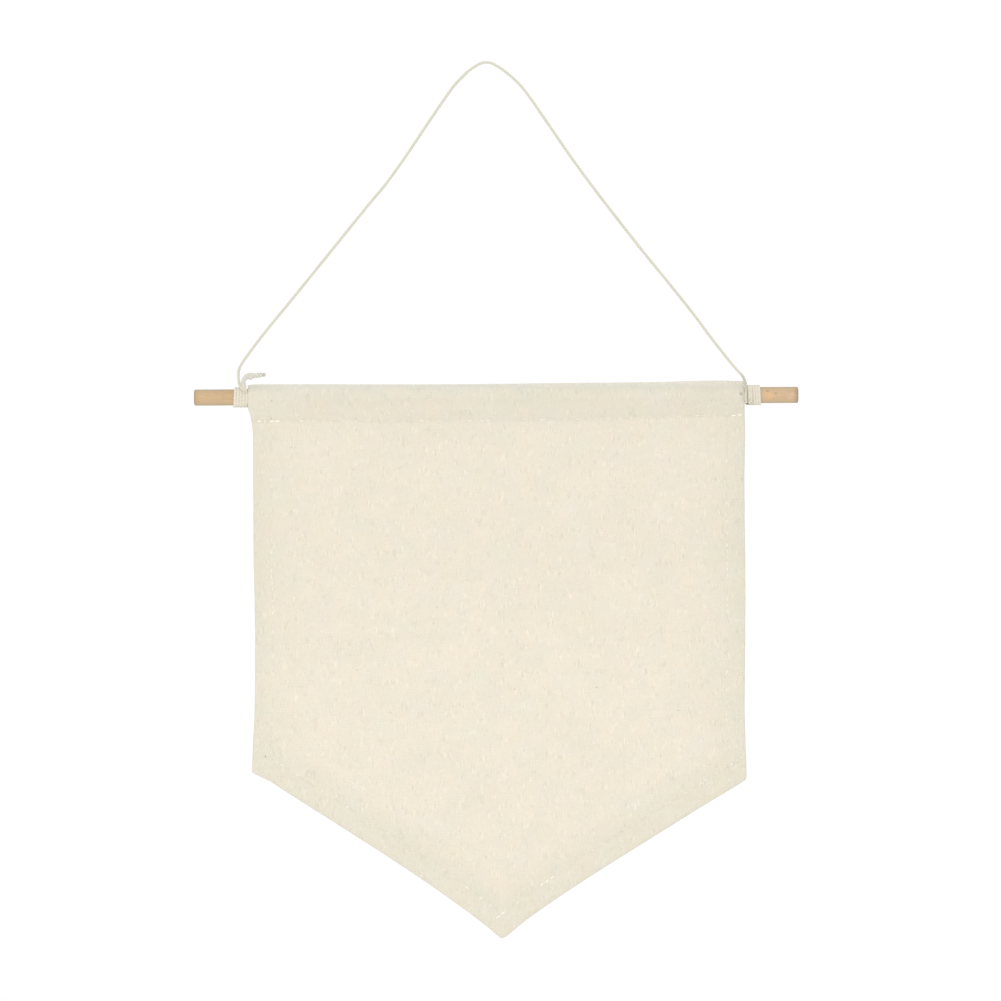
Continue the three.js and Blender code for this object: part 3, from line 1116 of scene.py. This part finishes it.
def relief(x, z):
    side, bottom = edge_distances(x, z)
    seam = z - pocket_seam(x)
    lines = (side - SIDE_STITCHES, bottom - BOTTOM_STITCHES, seam)
    pull = sum(math.exp(-((gap / TROUGH_WIDTH) ** 2)) for gap in lines)
    cockle = sum(noise.noise((x / long, z / long, layer)) * deep for long, deep, layer in COCKLES)
    return TROUGH * pull + cockle


def sheet_place(share, height):
    """Where a point at one station and one (y, z) of its column hangs, ripples included."""
    z = height.y
    left, right = left_edge(z) + TUCK, right_edge(z) - TUCK
    x = left + (right - left) * share
    inside = min(share, 1 - share) * SPAN
    ripple = noise.noise((7.7 * round(share), z / RIPPLE_LENGTH, 2))  # each edge has its own
    x += RIPPLE * ripple * (1 - ease(inside / RIPPLE_FADES))
    return Vector((x, height.x, z))


# %% [markdown]
# Now the grid can be hung. Each of its points belongs to a column and a row, and moves to its own place
# in the air. Blender then works out which way every face looks, and the front has to look forwards.

# %% Hang the sheet
def hang_column(share, heights):
    """One column in its place, with the ripples and troughs of the panel."""
    line = [sheet_place(share, height) for height in heights]
    for place in line[: SEAM_ROW + 1]:
        place.y += relief(place.x, place.z)
    return line


def hang_sheet():
    """The flat grid, hung in its place. Returns it with its points by column and row."""
    bm = bmesh.new()
    for layer in ("flat", "finish"):
        bm.verts.layers.float_vector.new(layer)
    bmesh.ops.create_grid(bm, x_segments=LAST_COLUMN, y_segments=LAST_ROW, size=1)
    points = {}
    for vert in bm.verts:
        i = round((vert.co.x + 1) / 2 * LAST_COLUMN)
        j = round((vert.co.y + 1) / 2 * LAST_ROW)
        points[i, j] = vert
    for i, share in enumerate(SHARES):
        for j, place in enumerate(hang_column(share, COLUMNS[i])):
            points[i, j].co = place
    bm.normal_update()
    return bm, points


sheet_mesh, grid = hang_sheet()
panel_normal = grid[LAST_COLUMN // 2, SEAM_ROW // 2].normal
print("the sheet's front faces", [round(value, 2) for value in panel_normal])

# %% [markdown]
# The weave has to follow the yarns round every fold, so each point carries its place in the cloth as it
# was cut, before it was folded. It also carries how far it lies from the side hems, from the lower hems
# and from the pocket's seam, which is where the finish changes.

# %% Mark where each point was cut
def mark_sheet(bm, points):
    flat, finish = (bm.verts.layers.float_vector[name] for name in ("flat", "finish"))
    for i, share in enumerate(SHARES):
        up = COLUMNS[i][0].y
        for j, height in enumerate(COLUMNS[i]):
            if j:
                up += (height - COLUMNS[i][j - 1]).length
            vert = points[i, j]
            side, bottom = edge_distances(vert.co.x, vert.co.z)
            vert[flat] = (LEFT_SHOULDER.x + SPAN * share, up, 0)
            vert[finish] = (side, bottom, up - pocket_seam(vert.co.x))


mark_sheet(sheet_mesh, grid)

# %% [markdown]
# ## Turning the hems
#
# A hem is the edge of the cloth folded to the back. Two helpers come first: one says which way the cloth
# lies from a point of its edge, and the other extrudes a whole line of edges and puts each new point in
# its place.

# %% Grow an edge
TIP_COLUMN = min(range(LAST_COLUMN + 1), key=lambda i: abs(grid[i, 0].co.x - POINT.x))


def inward_at(i, j):
    """The direction from an edge point into the cloth."""
    direction = Vector()
    if i in (0, LAST_COLUMN):
        direction.x = 1 if i == 0 else -1
    if j == 0:
        slope = 0 if i == TIP_COLUMN else bottom_slope(grid[i, j].co.x)
        direction += Vector((-slope, 0, 1)).normalized()
    return direction.normalized()


def grow(bm, edges, keys, place):
    """Extrudes a line of edges and puts each new point in its place. Returns the new edges."""
    made = bmesh.ops.extrude_edge_only(bm, edges=edges)["geom"]
    fresh = {item for item in made if isinstance(item, bmesh.types.BMVert)}
    for vert in fresh:
        old = next(e.other_vert(vert) for e in vert.link_edges if e.other_vert(vert) not in fresh)
        keys[vert] = keys[old]
        place(vert, *keys[old])
    lines = [item for item in made if isinstance(item, bmesh.types.BMEdge)]
    return [edge for edge in lines if all(vert in fresh for vert in edge.verts)]


print(f"the point lies on column {TIP_COLUMN} of {LAST_COLUMN}")

# %% [markdown]
# Where two hems cross, one lies on the other. The sides were turned first, so the lower hems lie over
# them, and the right one lies over the left one at the point. Each climbs softly onto the next layer.

# %% Stack the layers
CLIMB = 2  # width over which a hem climbs from one layer onto the next


def behind_panel(x, z, layers):
    """A point a number of layers behind the panel's own."""
    return Vector((x, front_face(x, z) + SHEET / 2 + relief(x, z) + FOLD * layers, z))


def lower_hem_layer(x, z, left):
    """Which layer behind the panel a lower hem is.

    It climbs over the side hem, and the right one climbs over the left one too.
    """
    side, _ = edge_distances(x, z)
    layers = 2 - ease((side - HEM) / CLIMB + 0.5)
    if not left:
        slope = line_slope(LEFT_SHOULDER)
        over = (z - POINT.y - slope * (x - POINT.x)) / math.hypot(1, slope)
        layers += 1 - ease((over - HEM) / CLIMB + 0.5)
    return layers


def tip_lean():
    """How far a lower hem's end leans at the point, for each millimetre of hem."""
    return 1 / math.tan(math.atan(-line_slope(LEFT_SHOULDER)) + math.atan(line_slope(RIGHT_SHOULDER)))


TIP_LEAN = tip_lean()
print(f"the lower hems lean {TIP_LEAN:.2f} at the point")

# %% [markdown]
# The whole edge is extruded round a tight half turn, one layer thick. Then each side is extruded
# inwards, flat against the back of the panel. A point's place in the uncut cloth goes with it, so the
# weave runs on round the fold.

# %% Fold the edges to the back
TURN_STEPS = 4
HEM_STEPS = 6
HEM_INSET = 0.4  # a lower hem stays this far inside the outline near the point
PAST_HEMS = 50  # for the finish, a place that no other hem reaches


def turn_hems(bm, points):
    """Folds the sides and the two slanting edges of the hung sheet to the back."""
    flat = bm.verts.layers.float_vector["flat"]
    finish = bm.verts.layers.float_vector["finish"]
    start = {key: (vert.co.copy(), -vert.normal, vert[flat].copy()) for key, vert in points.items()}
    rim = [(0, j) for j in range(LAST_ROW, 0, -1)]
    rim += [(i, 0) for i in range(LAST_COLUMN + 1)]
    rim += [(LAST_COLUMN, j) for j in range(1, LAST_ROW + 1)]
    keys = {points[key]: key for key in rim}
    edges = [bm.edges.get((points[one], points[other])) for one, other in zip(rim, rim[1:])]

    def cut_place(key, past):
        inward = inward_at(*key)
        return start[key][2] - Vector((inward.x, inward.z, 0)) * past

    for step in range(1, TURN_STEPS + 1):
        angle = math.pi * step / TURN_STEPS

        def fold(vert, i, j):
            place, back, _ = start[i, j]
            round_turn = back * (1 - math.cos(angle)) - inward_at(i, j) * math.sin(angle)
            vert.co = place + round_turn * FOLD / 2
            vert[flat] = cut_place((i, j), FOLD / 2 * angle)
            vert[finish] = (0, 0, vert[finish].z)

        edges = grow(bm, edges, keys, fold)

    def side_hem(vert, i, j):
        inner = (reach if i == 0 else LAST_COLUMN - reach), j
        place, back, _ = start[inner]
        vert.co = place + back * FOLD
        vert[flat] = cut_place((i, j), reach)
        vert[finish] = (reach, PAST_HEMS, vert[finish].z)

    def lower_hem(vert, i, j):
        place = start[i, j][0]
        left = is_left and i <= TIP_COLUMN
        corner = LEFT_SHOULDER if left else RIGHT_SHOULDER
        share = abs((place.x - corner.x) / (POINT.x - corner.x))
        slope = line_slope(corner)
        inward = Vector((-slope, 0, 1)).normalized()
        along = Vector((1, 0, slope)).normalized()
        lean = -slope * (1 - share) + TIP_LEAN * share
        at = place + inward * reach + along * lean * reach
        at.z = max(at.z, bottom_edge(at.x) + HEM_INSET)
        vert.co = behind_panel(at.x, at.z, lower_hem_layer(at.x, at.z, left))
        vert[flat] = cut_place((i, j), reach)
        vert[finish] = (PAST_HEMS, reach, vert[finish].z)

    sides = {key: [] for key in ("left", "right", "lower left", "lower right")}
    for edge in edges:
        i, k = (keys[vert][0] for vert in edge.verts)
        if i == k == 0:
            sides["left"].append(edge)
        elif i == k == LAST_COLUMN:
            sides["right"].append(edge)
        else:
            sides["lower left" if min(i, k) < TIP_COLUMN else "lower right"].append(edge)
    for name, line in sides.items():
        is_left = name == "lower left"
        for step in range(1, HEM_STEPS + 1):
            reach = round(HEM / HEM_STEPS) * step
            line = grow(bm, line, keys, lower_hem if "lower" in name else side_hem)


turn_hems(sheet_mesh, grid)
cut_area = sum(face.calc_area() for face in sheet_mesh.faces)
print(f"the cut holds {cut_area:.0f} square mm of cloth")

# %% [markdown]
# ## Undyed canvas
#
# The cloth is a plain weave: at each crossing either the upright yarn or the level one lies on top. An
# image texture would repeat and blur close up, so the finish draws it crossing by crossing, in the cut
# cloth's own measure. The weave is worked out first, because the relief needs it as well as the colour.

# %% The weave
WARP = 0.72  # between upright yarns
WEFT = 0.76  # and between level ones
WANDER = 1.6  # how far a yarn strays, in yarns


def plain_weave(flat):
    """How high the cloth stands, 1 where the level yarn is on top, and the numbers of both yarns."""
    across = flat.part(0) / WARP + flat.noise(0.16, 2) * WANDER
    upward = flat.part(1) / WEFT + flat.stretched(1, 1, 0).noise(0.21, 2) * WANDER
    warp, weft = across.floor(), upward.floor()
    crown = 1 - (across.fraction() - 0.5).size() * 2
    saddle = 1 - (upward.fraction() - 0.5).size() * 2
    crown, saddle = crown * (2 - crown), saddle * (2 - saddle)
    over = ((warp + weft) / 2).fraction() * 2
    upright = crown * (saddle * 0.45 + 0.55)
    level = saddle * (crown * 0.45 + 0.55)
    return upright * (1 - over) + level * over, over, warp, weft


# %% [markdown]
# Yarns spun from linen and cotton are uneven, so each gets its own slubs. Along the upright yarns they
# show as short light and dark dashes, with small specks between them. Neither is spread evenly: lively
# patches lie between plain ones. Over the whole cloth a painted light makes it a little paler low down and
# a painted shade makes it darker towards the right edge, and its tint wanders between pink and gold.

# %% The yarns' unevenness
def slubs(flat, over, warp, weft):
    """Thick and thin places along the yarn that lies on top, about 0."""
    slub = vector(warp * 0.37, flat.part(1) * 0.13).noise(5, 2)
    drift = vector(flat.part(0) * 0.13, weft * 0.37).noise(5, 2)
    return (slub - 0.5) * (1 - over) + (drift - 0.5) * over


def brightness(flat, weave, yarn, warp, mottle):
    """How light the cloth is, about 1."""
    dashed = vector(warp * 0.71, flat.part(1) * 0.08).noise(3, 1)
    dotted = vector(flat.part(0) * 0.43 + 40, flat.part(1) * 0.3).noise(1.9, 1)
    specks = dotted.ramp(0.68, 0.78) * 0.06 - dotted.ramp(0.24, 0.34, 1, 0) * 0.11
    lively = vector(flat.part(0), flat.part(1) + 70).noise(0.2, 3).ramp(0.48, 0.6, 0.15, 1)
    grain = (dashed - 0.5) * 0.33 + (mottle - 0.5) * 0.06 + (weave - 0.6) * 0.05 + specks
    patch, cloud = flat.noise(0.17, 2), flat.noise(0.04, 2)
    bright = grain * lively + yarn * 0.02 + (patch - 0.5) * 0.04 + (cloud - 0.5) * 0.05 + 0.98
    # painted light paler low down, and painted shade darker towards the right edge
    return bright + flat.part(1).ramp(-310, -240, 0.012, -0.006) - flat.part(0).ramp(85, 120, 0, 0.01)


def tinge(flat):
    """A multiplier for each of red, green and blue."""
    pink = (vector(flat.part(0) - 90, flat.part(1)).noise(0.08, 2) - 0.5) * 0.1 + 1
    gold = (vector(flat.part(0) + 90, flat.part(1)).noise(0.07, 2) - 0.5) * 0.12 + 1
    return vector(pink, 1.0, gold)


# %% [markdown]
# Now and then a fleck of husk is caught in a yarn: small ones anywhere, by chance, and a few larger ones
# that are listed. Light from behind passes through one layer and dies in two; that is painted here as
# shade, so the hems, the flap and the pocket are a little darker, and the painted shade fades softly past
# their edges. Along the pressed fold at the top a painted light makes the cloth paler, where the pocket
# turns away.

# %% The canvas's finish
ONE_LAYER = srgb(228, 220, 203)
TWO_LAYER_SHADE = srgb(221, 215, 198)
FOLD_PAINTED_LIGHT = srgb(229, 226, 211)
HUSK = srgb(162, 150, 130)
FLECKS = [
    # x, z, half width, half height and darkness of husks that catch the eye
    (127.5, -162.9, 0.95, 0.85, 0.6),
    # the next two are dark marks beside the pocket's row of stitches
    (-107.5, -164.6, 0.35, 0.4, 0.4),
    (-105.5, -166.6, 0.4, 0.5, 0.4),
    (13.4, -310.6, 0.4, 0.5, 0.5),
    (54.6, -309.7, 0.8, 0.5, 0.35),
    (-25.8, -269.5, 0.3, 0.5, 0.4),
    (-111, -343.9, 0.4, 0.9, 0.6),
    (37.2, -234.3, 0.25, 1.6, 0.4),
    (-66.2, -301, 0.4, 0.4, 0.4),
    (95.9, -321, 0.9, 0.3, 0.35),
    (86.7, -343.6, 0.25, 0.9, 0.4),
    (-67, -201.5, 0.4, 0.4, 0.35),
    (-44.3, -200.7, 0.4, 0.4, 0.35),
]


def doubled(side, lower, above):
    """How much painted shade the cloth gets, from the distances to the hems and the seam: over the hems,
    the flap and the pocket, and fading softly past them.
    """
    double = side.ramp(1, 10, 0.6, 0) + side.ramp(6, 30, 0.4, 0)
    double = double.larger(lower.ramp(0, 3.5, 0.3, 0) + lower.ramp(10, 24, 0.8, 0))
    pocket = above.ramp(-3, 2, 0, 0.35) + above.ramp(-16, -1, 0, 0.25) + above.ramp(6, 13, 0, 0.4)
    return double.larger(pocket)


def husks(flat):
    husk = flat.noise(1.4, 1).ramp(0.79, 0.84) * 0.3
    for x, z, wide, tall, dark in FLECKS:
        away = flat.away_from((x, z, 0), (1 / wide, 1 / tall, 0))
        husk = husk + away.ramp(0.4, 1.4, dark, 0)
    return husk


def canvas_finish():
    material, start = start_material("undyed canvas")
    flat, finish = attribute(start, "flat"), attribute(start, "finish")
    weave, over, warp, weft = plain_weave(flat)
    yarn = slubs(flat, over, warp, weft)
    mottle = flat.noise(0.55, 3, 0.6)
    side, lower, above = (finish.part(axis) for axis in range(3))
    # painted light: paler along the pressed fold at the top, where the pocket turns away
    fold = above.ramp(13, 19) * above.ramp(23, 28, 1, 0) * 0.7
    # painted shade where light from behind would pass two layers, fading past their edges
    colour = fold.tint(doubled(side, lower, above).tint(ONE_LAYER, TWO_LAYER_SHADE), FOLD_PAINTED_LIGHT)
    light = {0: colour, "Scale": brightness(flat, weave, yarn, warp, mottle)}
    colour = start.node("ShaderNodeVectorMath", {"operation": "SCALE"}, light)
    tinted = {0: colour, 1: tinge(flat)}
    colour = start.node("ShaderNodeVectorMath", {"operation": "MULTIPLY"}, tinted)
    colour = husks(flat).tint(colour, HUSK)
    finish_material(start, colour, 0.95, weave + yarn * 1.2 + mottle * 0.4, 0.09, sheen=0.5)
    print(f"undyed canvas: {len(material.node_tree.nodes)} nodes")
    return material


CANVAS = canvas_finish()

# %% [markdown]
# ## Rows of stitches
#
# A machine stitch shows on both faces as a row of short bits of thread, each sunk at its ends where the
# needle went through. One stitch is a small sphere, stretched to its length, laid along the row and
# pressed half into the cloth. The machine went back over itself at the ends of the pocket's seam and at
# the point, where the thread shows pale and thick; elsewhere it almost sinks from sight. A true stitch
# is a little longer, thicker or further out than the next, and a seeded draw gives that.

# %% Sew one row
PITCH = 3.0  # from one needle hole to the next
THREAD = 0.4
SUNK = 0.4  # share of the thread's thickness that lies in the cloth
SHOWING = (0.8, 0.95)  # share of the pitch that the thread spans
PLUMPNESS = (0.9, 1.2)
WAVER = 0.13  # how far a stitch strays from its row
POCKET_STARTS = 1.5  # this far above the seam, the cloth leaves the panel for the pocket


def facing(place, way):
    """The way the cloth faces: straight out on the panel, and away from the dowel on the pocket."""
    if place.z < pocket_seam(place.x) + POCKET_STARTS:
        return Vector((0, way, 0))
    return Vector((0, place.y, place.z - rod_height(place.x))).normalized()


def sew(row, way, pick, tacks):
    """Stitches through a row of points on one face of the cloth.

    way is -1 in front and 1 behind. tacks says where the thread is doubled.
    """
    bm = bmesh.new()
    thread = bm.verts.layers.float_vector.new("thread")
    holes = even_steps(row, PITCH)
    for one, other in zip(holes, holes[1:]):
        centre = (one + other) / 2
        along = (other - one).normalized()
        outward = facing(centre, way)
        heavy = max((ease((reach - abs(centre.x - x)) * 2) * much for x, reach, much in tacks), default=0)
        long = (other - one).length * (pick.uniform(*SHOWING) + 0.15 * heavy)
        size = THREAD * (1 + 0.8 * heavy) * pick.uniform(*PLUMPNESS)
        turn = Matrix((along, outward.cross(along), outward)).transposed().to_4x4()
        rise = Matrix.Translation((0, pick.uniform(-WAVER, WAVER), size * (0.5 - SUNK)))
        place = Matrix.Translation(centre) @ turn @ rise @ Matrix.Diagonal((long, size, size, 1))
        made = bmesh.ops.create_uvsphere(bm, u_segments=6, v_segments=5, radius=0.5, matrix=place)
        tone = max(heavy, 0.9 * pick.random() ** 1.5)
        # painted shade: each stitch darkens towards its ends, where it sinks into its needle holes, less
        # so on doubled thread
        for vert in made["verts"]:
            end = 2 * (vert.co - centre).dot(along) / long
            vert[thread] = (tone * (1 - end ** 4 * (1 - heavy)), 0, 0)
    return bm


# %% [markdown]
# The rows lie where the hems were sewn. Each is worked out twice, once on the front and once on what
# covers it behind. The side hems were sewn first, so their rows run round the pocket too.

# %% Lay out the rows
ROW_POINTS = 100  # along a slanting hem, and twice as many along the pocket
CLEAR_OF_HEM = 16  # a side row shows behind from this far above the lower edge
CLEAR_OF_FLAP = FLAP + 1  # to this far below the pocket's seam
POCKET_ENDS = (1.1, 0.6)  # the pocket's row stops this far from the left and right edges


def side_rows(share):
    """The row along a side hem: outside, and on the back of the hem."""
    line = hang_column(share, column(share))
    front = []
    for i, place in enumerate(line):
        front.append(place + facing(place, -1 if i <= SEAM_ROW else 1) * SHEET / 2)
    back = []
    for place in line[:SEAM_ROW]:
        if bottom_edge(place.x) + CLEAR_OF_HEM < place.z < pocket_seam(place.x) - CLEAR_OF_FLAP:
            back.append(place + Vector((0, FOLD + SHEET / 2, 0)))
    return front, back


def lower_rows(first, last, shoulder):
    """The row along a slanting hem, on both faces, from one x to another."""
    front, back = [], []
    slant = math.hypot(1, line_slope(shoulder))
    for i in range(ROW_POINTS + 1):
        x = first + (last - first) * i / ROW_POINTS
        z = slanting_edge(x, shoulder) + BOTTOM_STITCHES * slant
        front.append(behind_panel(x, z, 0) - Vector((0, SHEET / 2, 0)))
        back.append(behind_panel(x, z, lower_hem_layer(x, z, shoulder is LEFT_SHOULDER)))
        back[-1].y += SHEET / 2
    return front, back


def pocket_rows():
    """The row that closes the pocket, on both faces."""
    front, back = [], []
    for i in range(1, 2 * ROW_POINTS):
        share = i / (2 * ROW_POINTS)
        x = LEFT_SHOULDER.x + POCKET_ENDS[0] + (SPAN - sum(POCKET_ENDS)) * share
        z = pocket_seam(x)
        front.append(Vector((x, relief(x, z) - SOLID_SHEET, z)))
        behind = SHEET / 2 - SOLID_SHEET + FOLD * (1 + 2 * layers_at_edge(share)) + SHEET / 2
        back.append(Vector((x, behind, z)))
    return front, back


# %% [markdown]
# Where a seam starts or ends, the machine has gone back over its own stitches. Short tables name those
# places on each row. All the rows are joined into one piece, whose finish reads how pale each stitch is.

# %% Sew the seams
POCKET_TACKS = [
    # x, reach and weight of doubled thread
    (-105.5, 3, 1),
    (-111.8, 2, 0.8),
    (-91.5, 2, 0.6),
    (123.2, 3.2, 0.9),
]
LEFT_TACKS = [(-10.4, 2.4, 0.4), (-0.1, 3, 0.4)]
RIGHT_TACKS = [(7.2, 3, 1), (29.5, 3.2, 0.9)]


def sew_banner():
    inset = (SIDE_STITCHES - TUCK) / SPAN
    rows = [
        (*side_rows(inset), []),
        (*side_rows(1 - inset), []),
        (*pocket_rows(), POCKET_TACKS),
        (*lower_rows(LEFT_SHOULDER.x + 1, POINT.x + 0.5, LEFT_SHOULDER), LEFT_TACKS),
        (*lower_rows(RIGHT_SHOULDER.x - 1, POINT.x - 3, RIGHT_SHOULDER), RIGHT_TACKS),
    ]
    pick = Random(12)
    parts = []
    for front, back, tacks in rows:
        parts.append(sew(front, -1, pick, tacks))
        parts.append(sew(back, 1, pick, tacks))
    return join(parts)


def thread_finish():
    material, start = start_material("sewing thread")
    twist = place_in_mm(start).noise(4, 2)
    tone = attribute(start, "thread").part(0)
    colour = tone.tint(srgb(220, 213, 197), srgb(248, 243, 230))
    finish_material(start, colour, 0.8, twist, 0.05, sheen=0.1)
    return material


stitches = make_piece("seam_stitches", sew_banner(), thread_finish())

# %% [markdown]
# ## The finished sheet
#
# So far the cloth is a skin without thickness, which was easy to fold. A Solidify modifier now gives it
# two faces, half a thickness to each side of the skin, and closes its edges. The size to which the cloth
# was cut, its hung size with the hems, the pocket's loop and the flap laid flat, is worked out and
# printed.

# %% Thicken the sheet
cloth = make_piece("canvas_sheet", sheet_mesh, CANVAS)
thickness = cloth.modifiers.new("thickness", "SOLIDIFY")
thickness.thickness = SHEET * MM
thickness.offset = 0
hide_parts("banner_cloth")

cut_width = SPAN + 2 * HEM
cut_length = HEM + max(route_length(column_line) for column_line in COLUMNS)
cut_width * MM
cut_area * MM * MM
print(f"cut {cut_width:.0f} by {cut_length:.0f} mm, {cut_area / 100:.0f} square cm of cloth")

# %% [markdown]
# ## The floor and the light
#
# The banner hangs, so nothing stands on the floor: it is a pale disc well below, out of sight,
# that throws some light back up. It belongs to the stage and isn't part of the banner.

# %% Lay the floor
FLOOR_DROP = 330  # below the point
FLOOR_RADIUS = 900


def floor_finish():
    material, start = start_material("pale floor")
    shade = object_place(start).noise(3, 2)
    finish_material(start, shade.tint(srgb(238, 237, 234), srgb(244, 243, 240)), 0.8, shade, 0.1)
    return material


bm = bmesh.new()
bmesh.ops.create_circle(bm, segments=96, radius=FLOOR_RADIUS * MM, cap_ends=True)
bmesh.ops.translate(bm, vec=(middle.x, 0, cad_box[0].z - FLOOR_DROP * MM), verts=bm.verts)
floor_mesh = bpy.data.meshes.new("floor")
bm.to_mesh(floor_mesh)
bm.free()
floor_mesh.materials.append(floor_finish())
floor = bpy.data.objects.new("floor", floor_mesh)
scene.collection.objects.link(floor)

# %% [markdown]
# A plain object is best lit from all round, so that nothing hides in shade: a white surround, and one
# large soft lamp in front, which gives the string and the rod their roundness. The surround looks a
# little brighter than it shines, which a Light Path node can tell apart, so the cloth doesn't wash out.

# %% Light the banner
SURROUND = 1.01  # as bright as it looks
SURROUND_LIGHT = 0.87  # as much of it as reaches the banner
LAMP_PLACE = Vector((-0.3, -3.2, 0.1))  # from the middle of the banner, in metres
LAMP_SIZE = 1.6
LAMP_POWER = 38


def light_scene():
    world = bpy.data.worlds.new("white surround")
    scene.world = world
    world.use_nodes = True
    start = Wire(world.node_tree)
    seen = start.node("ShaderNodeLightPath")
    strength = seen * (SURROUND - SURROUND_LIGHT) + SURROUND_LIGHT
    world.node_tree.links.new(strength.socket, world.node_tree.nodes["Background"].inputs["Strength"])
    world.node_tree.nodes["Background"].inputs["Color"].default_value = (1, 1, 1, 1)
    lamp = bpy.data.lights.new("soft lamp", "AREA")
    lamp.shape = "DISK"
    lamp.size = LAMP_SIZE
    lamp.energy = LAMP_POWER
    holder = bpy.data.objects.new("soft lamp", lamp)
    holder.location = middle + LAMP_PLACE
    holder.rotation_euler = (middle - holder.location).to_track_quat("-Z", "Y").to_euler()
    scene.collection.objects.link(holder)
    scene.view_settings.view_transform = "Standard"
    print(f"one lamp of {LAMP_POWER} W, {LAMP_PLACE.length:.1f} m away, and a white surround")


light_scene()
